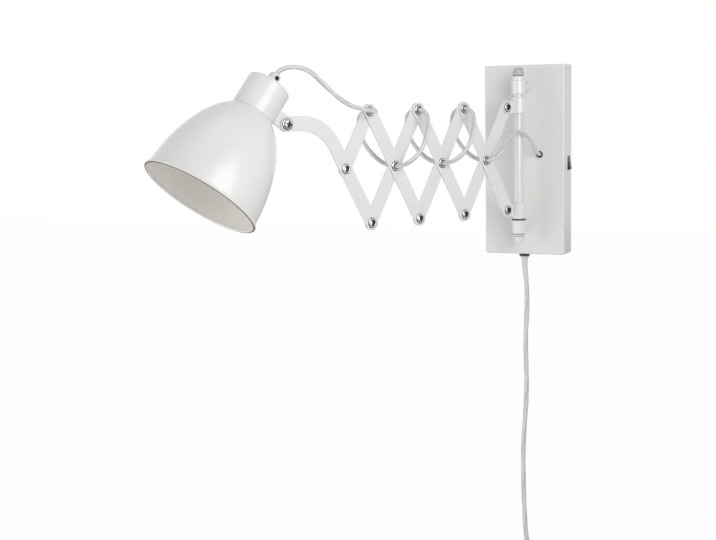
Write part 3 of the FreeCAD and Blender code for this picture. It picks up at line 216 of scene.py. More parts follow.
PAINT = material("satin_paint", (0.82, 0.815, 0.80), 0.3, speck=0.012, scale=22, bump=0.10,
                 bump_scale=700, Coat_Weight=0.3, Coat_Roughness=0.16)
BOX_PAINT = material("box_paint", (0.765, 0.76, 0.745), 0.36, speck=0.015, scale=18, bump=0.12,
                     bump_scale=700, Coat_Weight=0.4, Coat_Roughness=0.13)
GLOSS_PAINT = material("gloss_paint", (0.80, 0.795, 0.78), 0.14, speck=0.012, scale=30, bump=0.04,
                       bump_scale=500, rough_spread=0.03, Coat_Weight=0.6, Coat_Roughness=0.06)
ROD_PAINT = material("rod_paint", (0.73, 0.725, 0.71), 0.12, speck=0.012, scale=30, bump=0.03,
                     bump_scale=500, rough_spread=0.03, Coat_Weight=0.8, Coat_Roughness=0.05)
# near black: painted shade on the underside of the shade's rolled rim
RIM_PAINTED_SHADE = material("rim_underside_painted_shade", (0.15, 0.14, 0.12), 0.5, speck=0.1, scale=200)
INSIDE_PAINT = material("shade_inside_paint", (0.91, 0.88, 0.845), 0.45, speck=0.02, scale=30, bump=0.16,
                        bump_scale=500)
NICKEL = material("nickel", (0.68, 0.67, 0.66), 0.18, metallic=1.0, speck=0.06, scale=300, bump=0.05)
# near black nickel: painted shade in the rivets' bores, on their outer edges and on the tilt washer's rims
NICKEL_PAINTED_SHADE = material("nickel_painted_shade", (0.05, 0.05, 0.05), 0.3, metallic=1.0, speck=0.3, scale=500, bump=0.1)
# near black: painted shade in the tilt screw's cross recess and at its foot
RECESS_PAINTED_SHADE = material("screw_recess_painted_shade", (0.012, 0.012, 0.012), 0.4, speck=0.3, scale=600, bump=0.2)
CAP_GREY = material("cap_grey", (0.47, 0.46, 0.47), 0.3, speck=0.05, scale=200, bump=0.08,
                    Coat_Weight=0.3, Coat_Roughness=0.15)
# near black: the gland's dark ring, and painted shade in the rod caps' seams, the bush's mouth and under the
# lower collar
RUBBER_AND_PAINTED_SHADE = material("dark_rubber_and_painted_shade", (0.045, 0.045, 0.04), 0.5, speck=0.15, scale=400, bump=0.15)
MARK_WHITE = material("mark_white", (0.75, 0.75, 0.75), 0.5, speck=0.03, scale=500)
ZINC = material("zinc", (0.58, 0.59, 0.60), 0.34, metallic=1.0, speck=0.08, scale=160, bump=0.08)
WHITE_PLASTIC = material("white_plastic", (0.80, 0.80, 0.785), 0.4, speck=0.01, scale=90, bump=0.06)
BLACK_PLASTIC = material("black_plastic", (0.018, 0.018, 0.02), 0.3, speck=0.1, scale=120, bump=0.04)
ROCKER_BLACK = material("rocker_black", (0.012, 0.012, 0.013), 0.45, speck=0.1, scale=120, bump=0.04,
                        Specular_IOR_Level=0.2)
BEZEL_WHITE = material("bezel_white", (0.86, 0.86, 0.85), 0.16, speck=0.01, scale=90, bump=0.03,
                       rough_spread=0.03, Coat_Weight=0.7, Coat_Roughness=0.06)
BLACK_STEEL = material("black_steel", (0.012, 0.012, 0.012), 0.35, speck=0.2, scale=300, bump=0.1)
CLEAR_PLASTIC = material("clear_plastic", (0.70, 0.695, 0.71), 0.3, speck=0.02, scale=120, bump=0.06)
BRASS_DARK = material("brass_dark", (0.30, 0.21, 0.10), 0.45, metallic=1.0, speck=0.15, scale=300)
BRASS = material("brass", (0.72, 0.52, 0.24), 0.3, metallic=1.0, speck=0.08, scale=200)
HOLDER = material("holder_plastic", (0.74, 0.73, 0.70), 0.45, speck=0.02, scale=80)
NYLON = material("nylon", (0.80, 0.80, 0.78), 0.45, speck=0.01, scale=80)
CORD = cord_material()

# nodes of the part that aren't in the arm's and the head's satin paint
LOOKS = {
    "wall_cover": BOX_PAINT, "pivot_rod": ROD_PAINT, "lower_bracket": GLOSS_PAINT,
    "upper_bracket": GLOSS_PAINT, "lower_collar": GLOSS_PAINT, "upper_collar": GLOSS_PAINT,
    "mounting_plate": ZINC, "cover_screws": ZINC, "bracket_screws": ZINC, "clamp_screws": ZINC,
    # the thrust washer is dark, which also paints the shade in the gap under the lower collar
    "threaded_nipple": ZINC, "tilt_nut": ZINC, "thrust_washer": RUBBER_AND_PAINTED_SHADE,
    "lug_rivets": NICKEL, "plug_pins": NICKEL, "cord_clamp": WHITE_PLASTIC, "cord_grip": WHITE_PLASTIC,
    "terminal_block": NYLON, "coil_tie": BLACK_PLASTIC,
    "grip_screw": BLACK_STEEL, "lampholder": HOLDER, "lampholder_contacts": BRASS_DARK,
    "switch_contacts": BRASS, "terminal_screws": BRASS, "inner_leads": CORD, "head_lead": CORD}
for name, node in NODES.items():
    node.data.materials.clear()
    node.data.materials.append(LOOKS.get(name, PAINT))


# ---- making meshes -----------------------------------------------------------------------
def place(name, verts, faces, looks, picks=None, crease=38.0):
    """Piece with a mesh in metres; picks gives each face one of the looks.

    Edges that bend by more than crease, in degrees, are sharp.
    """
    mesh = bpy.data.meshes.new(name)
    mesh.from_pydata([tuple(v) for v in verts], [], faces)
    for look in looks if isinstance(looks, (list, tuple)) else [looks]:
        mesh.materials.append(look)
    for i, polygon in enumerate(mesh.polygons):
        polygon.use_smooth = True
        if picks:
            polygon.material_index = picks[i]
    mesh.set_sharp_from_angle(angle=math.radians(crease))
    obj = bpy.data.objects.new(name, mesh)
    bpy.context.scene.collection.objects.link(obj)
    return obj


def ring_faces(rows, count, joined=False):
    """Quads between rings of count points, with a cap on both ends unless the last ring joins the first."""
    faces = [(i * count + k, i * count + (k + 1) % count,
              (i + 1) % rows * count + (k + 1) % count, (i + 1) % rows * count + k)
             for i in range(rows if joined else rows - 1) for k in range(count)]
    if not joined:
        faces += [tuple(range(count - 1, -1, -1)), tuple((rows - 1) * count + k for k in range(count))]
    return faces


def arc(centre, radius, start, end, count):
    """Outline points on an arc, its angles in degrees."""
    angles = [math.radians(start + (end - start) * k / count) for k in range(count + 1)]
    return [(centre[0] + radius * math.cos(a), centre[1] + radius * math.sin(a)) for a in angles]


def turned(name, base, axis, outline, looks, body, sides=48, pick=None):
    """Surface of revolution: a closed outline of (radius, height) in mm from base along axis.

    pick tells which of the looks a band of faces has, from its middle's radius and height.
    """
    base, axis = np.array(base, float), np.array(axis, float)
    first = np.cross(axis, ASKEW)
    first /= np.linalg.norm(first)
    second = np.cross(axis, first)
    turns = [2 * math.pi * k / sides for k in range(sides)]
    verts = [(base + axis * h + (first * math.cos(a) + second * math.sin(a)) * r) * MM
             for r, h in outline for a in turns]
    picks = []
    for (r, h), (next_r, next_h) in zip(outline, outline[1:] + outline[:1]):
        picks += [pick((r + next_r) / 2, (h + next_h) / 2) if pick else 0] * sides
    obj = place(name, verts, ring_faces(len(outline), sides, joined=True), looks, picks)
    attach(obj, body)
    return obj


# ---- cords -------------------------------------------------------------------------------
TWIST = 0.058                             # metres of cord to half a turn of its two cores
GROOVE = 0.10                             # depth between the cores, as a share of the radius


def spline_points(points):
    """Points in metres along the NURBS curve that has these control points, given in millimetres."""
    curve = bpy.data.curves.new("route", "CURVE")
    curve.dimensions = "3D"
    curve.resolution_u = 16
    spline = curve.splines.new("NURBS")
    spline.points.add(len(points) - 1)
    for control, p in zip(spline.points, points):
        control.co = (*[c * MM for c in p], 1.0)
    spline.order_u = 3
    spline.use_endpoint_u = True
    obj = bpy.data.objects.new("route", curve)
    bpy.context.scene.collection.objects.link(obj)
    bpy.context.view_layer.update()
    mesh = bpy.data.meshes.new_from_object(obj)
    line = np.array([v.co for v in mesh.vertices], float)
    bpy.data.meshes.remove(mesh)
    bpy.data.objects.remove(obj)
    bpy.data.curves.remove(curve)
    return line


def distances(line):
    """Distance along the line to each of its points."""
    return np.concatenate([[0.0], np.cumsum(np.linalg.norm(np.diff(line, axis=0), axis=1))])


def even(line, step):
    """The same line with its points a fixed step apart, and its length."""
    gaps = np.linalg.norm(np.diff(line, axis=0), axis=1)
    line = line[np.concatenate([[True], gaps > 1e-9])]
    way = distances(line)
    at = np.linspace(0, way[-1], max(8, int(way[-1] / step)) + 1)
    return np.stack([np.interp(at, way, line[:, k]) for k in range(3)], axis=1), way[-1]


def swept(name, line, radius, looks, sides=18):
    """Tube along a line. radius is a function of the angle round it and the distance along it."""
    heading = np.gradient(line, axis=0)
    heading /= np.linalg.norm(heading, axis=1)[:, None]
    way = distances(line)
    side = np.cross(heading[0], ASKEW)
    verts = []
    for i, p in enumerate(line):
        side = side - heading[i] * side.dot(heading[i])
        side /= np.linalg.norm(side)
        other = np.cross(heading[i], side)
        for k in range(sides):
            a = 2 * math.pi * k / sides
            verts.append(p + (side * math.cos(a) + other * math.sin(a)) * radius(a, way[i]))
    rings = len(line)
    obj = place(name, verts, ring_faces(rings, sides), looks)
    lay = [corner for i in range(rings - 1) for k in range(sides)
           for corner in ((k, i), (k + 1, i), (k + 1, i + 1), (k, i + 1))]
    lay += [(k, 0) for k in range(sides - 1, -1, -1)] + [(k, rings - 1) for k in range(sides)]
    layer = obj.data.uv_layers.new(name="lay")
    for loop_uv, (k, i) in zip(layer.data, lay):
        loop_uv.uv = (2 * k / sides - way[i] / TWIST, way[i] / CM)
    return obj


def twisted_cord(name, line, radius, step=0.0014):
    """Cord with the shallow spiral grooves of two cores twisted under a soft sheath."""
    line, length = even(line, step)

    def grooved(angle, way):
        return radius * (1 - GROOVE * (0.5 + 0.5 * math.cos(2 * angle - 2 * math.pi * way / TWIST)) ** 2)

    return swept(name, line, grooved, CORD), line, length


# mains cord: hangs from the gland, then lies in its tied coil
GLAND = (-4.5, -17.0)
HANGING_ROUTE = [
    (*GLAND, -BOX_TOP + 4.0), (*GLAND, -BOX_TOP - 17.0), (-1.6, -17.6, -152.0), (-1.4, -17.2, -188.0),
    (-4.0, -16.4, -228.0), (-2.6, -15.6, -272.0), (-3.4, -15.8, -312.0), (-6.6, -16.8, -352.0),
    (-7.2, -16.6, -398.0), (-6.4, -14.8, -447.0), (-4.0, -13.6, -497.0)]
START = math.radians(45.0)                # where the cord meets the coil
COIL_LEAD = 26.0                          # last point of the route to the coil
TURN_POINTS = 24
CLIMB_TURNS = 0.5                         # part of a turn in which the coil goes over to its other layer
PLUG_LEAD = 30.0                          # coil to plug
DIVE = np.array([math.sin(START), 0.0, -math.cos(START)])
COIL_START = np.array(HANGING_ROUTE[-1]) + DIVE * COIL_LEAD
COIL_CENTRE = COIL_START - np.array([math.cos(START), 0.0, math.sin(START)]) * COIL_OUTER


def coil_point(turn):
    """Point of the coil, which spirals in and, one layer further out of the wall, out again."""
    half = COIL_TURNS / 2
    radius = COIL_OUTER - COIL_PITCH * (half - abs(half - turn))
    angle = START - 2 * math.pi * turn
    climb = min(max((turn - half) / CLIMB_TURNS + 0.5, 0.0), 1.0)
    step = climb * climb * (3 - 2 * climb)
    return COIL_CENTRE + np.array([radius * math.cos(angle), -COIL_LAYER * step, radius * math.sin(angle)])


COIL_END = coil_point(COIL_TURNS)
LEAVE = COIL_END - coil_point(COIL_TURNS - 1e-4)
LEAVE /= np.linalg.norm(LEAVE)
PLUG_SEAT = COIL_END + LEAVE * PLUG_LEAD
PLUG_THICK = np.cross(LEAVE, (0.0, 1.0, 0.0))
PLUG_LENGTH, PLUG_SIDES, RIB_DEPTH = 36.0, 56, 0.35
# height along the plug, half width, half thickness and squareness
PLUG_STATIONS = [(-1.0, 4.1, 4.1, 2.0), (8.0, 4.4, 4.4, 2.0), (10.5, 6.8, 4.6, 2.2), (16.0, 9.6, 4.9, 2.5),
                 (22.0, 12.0, 5.25, 2.8), (27.0, 15.6, 6.2, 3.0), (30.5, 17.5, 6.85, 3.2),
                 (34.9, 17.65, 6.85, 3.2), (35.6, 17.4, 6.6, 3.2), (PLUG_LENGTH, 16.9, 6.1, 3.2)]


def mains_route():
    count = int(COIL_TURNS * TURN_POINTS)
    points = [np.array(p) for p in HANGING_ROUTE]
    points += [coil_point(COIL_TURNS * k / count) for k in range(count + 1)]
    return points + [COIL_END + LEAVE * (PLUG_LEAD / 2), COIL_END + LEAVE * (PLUG_LEAD + 0.5)]


def rib(z, pitch):
    """Depth of the valleys between ribs at a height from one of their tops."""
    return RIB_DEPTH * (0.5 - 0.5 * math.cos(2 * math.pi * z / pitch))


def plug_size(z):
    """Half width, half thickness and squareness of the plug, with its ribs, at a height along it."""
    heights = [st[0] for st in PLUG_STATIONS]
    w, t, n = (float(np.interp(z, heights, [st[k] for st in PLUG_STATIONS])) for k in (1, 2, 3))
    if -0.5 < z < 9.0:
        w, t = w - rib(z, 2.2), t - rib(z, 2.2)
    if 12.0 < z < 27.0:
        t -= rib(z - 12.0, 2.5)
    return w, t, n


def moulded_plug():
    verts = []
    levels = [-1.0 + 0.3 * k for k in range(123)] + [PLUG_LENGTH]
    for z in levels:
        w, t, n = plug_size(z)
        for k in range(PLUG_SIDES):
            turn = 2 * math.pi * k / PLUG_SIDES
            x, y = (math.copysign(abs(v) ** (2 / n), v) for v in (math.cos(turn), math.sin(turn)))
            verts.append((PLUG_SEAT + LEAVE * z + np.array([0, 1.0, 0]) * x * w - PLUG_THICK * y * t) * MM)
    return place("moulded_plug", verts, ring_faces(len(levels), PLUG_SIDES), WHITE_PLASTIC,
                 crease=50)


plug = moulded_plug()
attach(plug, "wall_unit")
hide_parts("mains_plug")

mains_line = spline_points(mains_route())
mains_cord, mains_path, mains_length = twisted_cord("mains_cord_twisted", mains_line, MAINS_CORD_RADIUS * MM)
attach(mains_cord, "wall_unit")
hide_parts("mains_cord", "mains_cord_coil")


# arm cord: one cord threaded through the eyelets, in stretches that ride on the links
def loop(start, end, side):
    """Control points of a stretch from one eyelet to the next, on the arm's front, side 1, or rear, side -1.

    at gives the point at a share of the way, with stand and hang as shares of LOOP_OUT and LOOP_SAG.
    """
    a, b = np.array(start), np.array(end)
    span = np.linalg.norm(b - a)
    way = (b - a) / span
    across = -np.array([way[1], -way[0]])

    def at(share, stand, hang):
        flat = a + (b - a) * share + across * (LOOP_SAG * hang)
        return arm(flat[0], flat[1], side * LOOP_OUT * stand)

    return [arm(*start), at(0, 0.76, 0), at(22 / span, 1.0, 0.95), at(48 / span, 0.93, 0.85),
            at(1, 0.68, 0), arm(*end)]


def threaded(name, node, body, points):
    stretch, _, _ = twisted_cord(name, spline_points(points), ARM_CORD_RADIUS * MM)
    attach(stretch, body)
    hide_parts(node)


def cut(line, shares):
    """Pieces of a line between shares of its length; neighbours share their end points."""
    line, _ = even(line, 0.0008)
    marks = [int(round(s * (len(line) - 1))) for s in shares]
    return [line[a:b + 1] for a, b in zip(marks, marks[1:])]


def bending(name, line, node):
    """Stretch of cord between two bodies whose joint turns, baked in place and attached to neither."""
    stretch, points, _ = twisted_cord(name, line, ARM_CORD_RADIUS * MM)
    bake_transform(stretch)
    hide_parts(node)


for i in (1, 2, 3):
    threaded(f"arm_cord_back_stretch_{i}", f"arm_cord_rear_{i}", f"front_link_{i}",
             loop(top_rivet(i), middle_rivet(i), -1))
for i in (1, 2):
    threaded(f"arm_cord_front_stretch_{i}", f"arm_cord_front_{i}", f"rear_link_{i + 1}",
             loop(middle_rivet(i + 1), top_rivet(i), 1))

wall_line = spline_points([
    (BUSH_X, -28.6, BUSH_Z), (BUSH_X, -44.0, BUSH_Z), (14.5, -56.0, 28.5), (5.0, -75.0, 38.5),
    (-2.5, -92.0, 27.5), arm(*middle_rivet(1), 17.0), arm(*middle_rivet(1))])
parts = cut(wall_line, (0, 0.6, 1))
bending("arm_cord_wall_a", parts[0], "arm_cord_wall_loop")
bending("arm_cord_wall_b", parts[1], "arm_cord_wall_loop")

head_line = spline_points([
    arm(*top_rivet(3)), arm(*top_rivet(3), 20.0), arm(243.0, 66.5, 18.0), arm(266.0, 74.0, 15.0),
    arm(287.0, 92.5, 10.5), arm(308.0, 112.5, 6.0), head(0, 0, 60.0), head(0, 0, 51.0)])
parts = cut(head_line, (0, 0.36, 0.68, 1))
bending("arm_cord_head_a", parts[0], "arm_cord_head_loop")
bending("arm_cord_head_b", parts[1], "arm_cord_head_loop")
bending("arm_cord_head_c", parts[2], "arm_cord_head_loop")


# ---- shade and neck ----------------------------------------------------------------------
def bell(trim, top, bottom, count=48):
    """Outline points down the bell's quarter ellipse, drawn in by trim."""
    wide = BELL_RADIUS - trim
    rise = BELL_WIDEST / math.sqrt(1 - (NECK_RADIUS / BELL_RADIUS) ** 2) - trim
    heights = [top + (bottom - top) * k / count for k in range(count + 1)]
    return [(wide * math.sqrt(1 - ((h + BELL_WIDEST) / rise) ** 2), h) for h in heights]


RIM = BEAD_RADIUS - BELL_LENGTH           # height of the rolled rim's middle
SPIGOT = NECK_RADIUS - NECK_SHEET         # collar of the bell inside the neck
OUTER = [(NECK_RADIUS - 0.4, 0.0)] + bell(0, -0.5, RIM + BEAD_RADIUS)
BEAD = (OUTER[-1][0] + 0.9, RIM)
INNER = bell(SHADE_SHEET, RIM + 1.1, -SHADE_SHEET) + [
    (SPIGOT - SHADE_SHEET, -SHADE_SHEET), (SPIGOT - SHADE_SHEET, SPIGOT_HEIGHT),
    (SPIGOT, SPIGOT_HEIGHT), (SPIGOT, 0.0)]


def shade_look(r, h):
    """Inside paint on the inner wall, and painted shade on the underside of the rolled rim."""
    if min(math.hypot(r - (a[0] + b[0]) / 2, h - (a[1] + b[1]) / 2)
           for a, b in zip(INNER, INNER[1:] + OUTER[:1])) < 1e-6:
        return 1
    # faces of the bead that turn down and inwards get the painted shade
    turn = math.degrees(math.atan2(h - BEAD[1], r - BEAD[0]))
    return 2 if h < RIM + BEAD_RADIUS and -105 < turn < -38 else 0


shade = turned("spun_shade", NECK_SEAT, SHADE_UP, OUTER + arc(BEAD, BEAD_RADIUS, 125, -215, 22) + INNER,
               [PAINT, INSIDE_PAINT, RIM_PAINTED_SHADE], "lamp_head", 120, shade_look)
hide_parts("shade")
neck_outline = ([(22.9, 0.0), (23.35, 0.15), (NECK_RADIUS, 0.55), (NECK_RADIUS, 20.0), (NECK_RADIUS, 33.0)]
                + arc((21.3, 34.8), 2.2, 0, 90, 8)
                + [(14.0, NECK_LENGTH), (5.0, NECK_LENGTH), (5.0, 35.8), (14.0, 35.8)]
                + arc((21.0, 34.5), 1.3, 90, 0, 5) + [(SPIGOT, 20.0), (SPIGOT, 0.0)])
neck = turned("spun_neck", NECK_SEAT, SHADE_UP, neck_outline, PAINT, "lamp_head", 120)
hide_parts("shade_neck")

SOCKET_THREAD = [(13.0 + 0.28 * math.cos(2 * math.pi * k / 8), -13.0 + 2.5 * k / 8) for k in range(8 * 8)]
turned("socket_thread", NECK_SEAT, SHADE_UP,
       SOCKET_THREAD + [(13.29, SOCKET_THREAD[-1][1]), (13.29, SOCKET_THREAD[0][1])],
       BRASS, "lamp_head", 72)


# ---- hollow rivets: rolled lips, with painted shade in the bore and on the outer edge ------
LIP = [(3.1, 1.5), (3.12, 2.3), (3.28, 2.75), (3.6, 3.0), (4.2, 3.1), (4.75, 3.04), (5.2, 2.86), (5.55, 2.55),
       (5.8, 2.1)]
EYELET_SHANK = 3.9
EYELET = LIP + [(EYELET_SHANK, 2.1), (EYELET_SHANK, -2.2), (5.8, -2.2)] + [(r, -h) for r, h in LIP[:-1]][::-1]


# the bore, the outer edge and the shank take the painted shade
def eyelet_look(r, h):
    return int(r < 3.6 or r > 5.0 or r == EYELET_SHANK)


def eyelets(node, body, *rivets):
    for k, rivet in enumerate(rivets):
        ring = turned(f"{node}_ring_{k + 1}", arm(*rivet), FRONT, EYELET, [NICKEL, NICKEL_PAINTED_SHADE],
                      body, 40, eyelet_look)
        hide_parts(node)


eyelets("upper_collar_eyelet", "upper_collar", top_rivet(0))
for i in (1, 2, 3):
    eyelets(f"front_link_{i}_eyelets", f"front_link_{i}", bottom_rivet(i - 1), middle_rivet(i), top_rivet(i))
eyelets("end_link_eyelets", "end_link", middle_rivet(4), bottom_rivet(3))


# ---- cross-head screw of the tilt joint, with its washer ------------------------------------
WASHER_FACE = 3.3                         # front of the washer, from the arm's middle plane
RECESS_TURN = math.radians(14.0)
HEAD_POINTS = 120
HEAD_FLANK = [(4.3, WASHER_FACE), (4.62, 3.5), (4.7, 4.1), (4.5, 4.75), (4.1, 5.25)]
DOME_RADIUS, DOME_TOP = 3.9, 6.1

# the washer's outer rim and inner edge take the painted shade
washer = turned("tilt_washer", PIVOT, FRONT, [
    (2.5, 2.3), (6.1, 2.3), (6.3, 2.45), (6.25, 3.0), (5.7, WASHER_FACE), (4.9, WASHER_FACE),
    (2.5, WASHER_FACE)], [NICKEL, NICKEL_PAINTED_SHADE], "lamp_head", 48,
    lambda r, h: int(r > 5.85 or r < 4.8))
screw_thread = [(2.48 if k % 2 else 2.2, -2.9 - 0.4 * k) for k in range(13)]
shank = turned("tilt_screw_shank", PIVOT, FRONT, [(2.5, WASHER_FACE), (2.5, -2.6)] + screw_thread + [
    (1.7, -8.1), (0.01, -8.1), (0.01, WASHER_FACE)], NICKEL, "lamp_head", 32)


def in_cross(x, y):
    """Whether a point of the screw's face is in its cross recess."""
    x, y = (x * math.cos(RECESS_TURN) + y * math.sin(RECESS_TURN),
            y * math.cos(RECESS_TURN) - x * math.sin(RECESS_TURN))
    near, far = sorted((abs(x), abs(y)))
    return near < 0.8 + 0.14 * (3.7 - far) and far < 3.7 or math.hypot(x, y) < 1.8


def screw_head():
    """Domed head as a fine polar grid, open against the washer and pressed in where the cross recess is, with
    painted shade in the recess and at the head's foot.
    """
    radii = [DOME_RADIUS * (1 - k / 26) for k in range(26)]
    rows = HEAD_FLANK + [(r, DOME_TOP - 0.75 * (r / DOME_RADIUS) ** 2) for r in radii]
    verts, levels = [], []
    for r, h in rows:
        for k in range(HEAD_POINTS):
            x, y = (r * f(2 * math.pi * k / HEAD_POINTS) for f in (math.cos, math.sin))
            levels.append(h - (1.7 - 0.25 * r if in_cross(x, y) else 0.0))
            verts.append((PIVOT + ALONG * x + UP * y + FRONT * levels[-1]) * MM)
    faces = ring_faces(len(rows), HEAD_POINTS)
    faces = faces[:-2] + faces[-1:]
    picks = []
    for quad in faces[:-1]:
        row = quad[0] // HEAD_POINTS
        pressed = min(levels[v] for v in quad) < rows[row + 1][1] - 0.5
        # the head's foot rows and the pressed-in recess take the painted shade
        picks.append(int(row < 2 or row >= len(HEAD_FLANK) and pressed))
    head_piece = place("tilt_screw_head", verts, faces, [NICKEL, RECESS_PAINTED_SHADE], picks + [1], 30)
    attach(head_piece, "lamp_head")
    return head_piece


for piece in (washer, shank, screw_head()):
    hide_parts("tilt_screw")


# ---- caps on the rod's ends ------------------------------------------------------------------
def top_cap_look(r, h):
    """Painted shade in the seam over the flange, and a grey cone."""
    return 2 if 4.7 < h < 5.7 else int(h > 5.1)


def bottom_cap_look(r, h):
    """Painted shade in the seams above and below the flange."""
    return int(h < 0.52 or r < 6.3 and 2.3 < h < 3.05)


top_cap = turned("upper_rod_cap", (0, ROD_Y, 96.65), UP, [
    (6.0, 0.0), (7.6, 0.0), (8.1, 0.5), (8.1, 4.3), (7.6, 5.0), (6.5, 5.2), (6.35, 5.6), (6.6, 6.2),
    (6.3, 10.0), (5.7, 13.4), (4.6, 14.7), (3.0, 15.0), (0.01, 15.0), (0.01, 1.0), (6.0, 1.0)],
    [GLOSS_PAINT, CAP_GREY, RUBBER_AND_PAINTED_SHADE], "wall_unit", 48, top_cap_look)
bottom_cap = turned("lower_rod_cap", (0, ROD_Y, -87.0), -UP, [
    (6.0, 0.0), (7.2, 0.0), (7.2, 0.5), (7.5, 0.6), (7.8, 0.9), (7.8, 2.0), (7.4, 2.3), (6.1, 2.35),
    (6.1, 3.0), (6.4, 3.2), (6.4, 9.8), (6.1, 10.6), (5.2, 11.0), (0.01, 11.0), (0.01, 1.0), (6.0, 1.0)],
    [GLOSS_PAINT, RUBBER_AND_PAINTED_SHADE], "wall_unit", 48, bottom_cap_look)
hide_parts("rod_end_caps")
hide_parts("rod_end_caps")


# ---- bushes of the two cords -------------------------------------------------------------------
def bush_look(r, h):
    """Painted shade in the mouth."""
    return int(r < 4.15 and h < 6.5 and not 3.35 < r < 3.45)


bush = turned("arm_cord_bush", (BUSH_X, -34.6, BUSH_Z), (0, 1, 0), [
    (4.2, 0.25), (4.6, 0.0), (5.1, 0.15), (5.4, 0.6), (5.4, 1.6), (3.4, 1.6), (3.4, 7.6), (2.6, 7.6),
    (2.6, 5.2), (3.7, 3.0), (4.0, 1.2)], [WHITE_PLASTIC, RUBBER_AND_PAINTED_SHADE], "wall_unit", 40, bush_look)
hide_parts("face_bush")

# strain relief of the mains cord: dark ring, dome and a slim sleeve that follows the cord
SLEEVE_TOP, SLEEVE_END = 4.0, 27.0        # below the box
SLEEVE_DOME, DOME_PROUD = 3.2, 1.8        # length of its dome, and how far that stands out of the sleeve
SLEEVE_RADIUS, SLEEVE_TAPER = 3.6, 0.45

ring = turned("gland_ring", (*GLAND, -BOX_TOP), -UP, [
    (3.1, -6.0), (4.8, -6.0), (5.6, -1.2), (4.8, -1.0), (4.8, 0.0), (6.0, 0.0), (6.5, 0.4), (6.5, 3.9),
    (6.0, 4.3), (3.1, 4.3)], RUBBER_AND_PAINTED_SHADE, "wall_unit")
hanging, _ = even(spline_points(HANGING_ROUTE), 0.0005)
sleeve_line = hanging[(hanging[:, 2] < (-BOX_TOP - SLEEVE_TOP) * MM)
                      & (hanging[:, 2] > (-BOX_TOP - SLEEVE_END) * MM)]


def sleeve_radius(angle, way):
    way = way / MM
    if way < SLEEVE_DOME:
        return (SLEEVE_RADIUS + DOME_PROUD * math.sqrt(max(0.0, 1 - (way / SLEEVE_DOME) ** 2))) * MM
    return (SLEEVE_RADIUS - SLEEVE_TAPER * (way - SLEEVE_DOME) / (SLEEVE_END - SLEEVE_TOP - SLEEVE_DOME)) * MM


sleeve = swept("gland_sleeve", sleeve_line, sleeve_radius, CLEAR_PLASTIC, 40)
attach(sleeve, "wall_unit")
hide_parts("cord_gland")
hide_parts("cord_gland")


# ---- rocker switch ----------------------------------------------------------------------------
SWITCH = np.array([0.0, -15.0, -3.8])
ROCK_PIVOT = SWITCH + (49.3, 0.0, 0.0)
ROCK = math.radians(-10.0)
MIDDLE, SLOPE, END = 2.1, 2.45, 2.55      # how far the rocker's face stands out, from its middle to its ends
ROCK_SLOPE, ROCK_EDGE, ROCK_HALF = 4.0, 7.9, 8.2
ROCKER_BACK, ROCKER_BELLY = -0.6, 3.4
MARK_PROUD, MARK_POINTS = 0.06, 28
RING_UP, RING_INNER, RING_OUTER = 4.4, 1.7, 2.4
BAR_HALF, BAR_NEAR, BAR_FAR = 0.35, 2.4, 6.4


def rounded(half_w, half_h, corner, x, steps=6):
    """Rounded oblong across the X axis, round the switch's middle."""
    ring = []
    for cy, cz, start in ((1, 1, 0), (-1, 1, 90), (-1, -1, 180), (1, -1, 270)):
        for k in range(steps + 1):
            a = math.radians(start + 90 * k / steps)
            ring.append((SWITCH + np.array([x, cy * (half_w - corner) + corner * math.cos(a),
                                            cz * (half_h - corner) + corner * math.sin(a)])) * MM)
    return ring


def switch_bezel():
    rings = [rounded(6.4, 9.4, 0.8, 37.0), rounded(6.4, 9.4, 0.8, 50.0), rounded(7.5, 10.5, 3.0, 50.0),
             rounded(7.5, 10.5, 3.0, 50.3), rounded(7.35, 10.35, 2.85, 50.55), rounded(7.0, 10.0, 2.5, 50.7),
             rounded(6.3, 8.8, 1.1, 50.7), rounded(6.1, 8.6, 0.9, 50.5), rounded(6.1, 8.6, 0.9, 42.8)]
    verts = [p for ring in rings for p in ring]
    return place("switch_bezel", verts, ring_faces(len(rings), len(rings[0])), BEZEL_WHITE)


def rocked(x, y, z):
    """Point of the rocker, which lies tipped over at rest."""
    return (ROCK_PIVOT + np.array([x * math.cos(ROCK) + z * math.sin(ROCK), y,
                                   -x * math.sin(ROCK) + z * math.cos(ROCK)])) * MM


def rocker():
    side_view = [(MIDDLE, 0.0), (SLOPE, ROCK_SLOPE), (END, ROCK_EDGE), (END - 0.3, ROCK_HALF),
                 (ROCKER_BACK, 8.0)]
    side_view += [(ROCKER_BACK - ROCKER_BELLY * math.sin(math.radians(a)), 8.0 * math.cos(math.radians(a)))
                  for a in range(20, 161, 20)]
    side_view += [(ROCKER_BACK, -8.0), (END - 0.3, -ROCK_HALF), (END, -ROCK_EDGE), (SLOPE, -ROCK_SLOPE)]
    rows = [(-5.9, 0.25), (-5.65, 0.0), (5.65, 0.0), (5.9, 0.25)]
    verts = [rocked(x - inset if x > 0 else x, y, z * (1 - inset / 9))
             for y, inset in rows for x, z in side_view]
    faces = ring_faces(len(rows), len(side_view))
    return place("rocker", verts, faces, ROCKER_BLACK, crease=30)


def on_rocker(across, up):
    """Point just proud of the rocker's face, up its own slope from the middle."""
    x = float(np.interp(abs(up), [0.0, ROCK_SLOPE, ROCK_EDGE], [MIDDLE, SLOPE, END]))
    return rocked(x + MARK_PROUD, across, up)


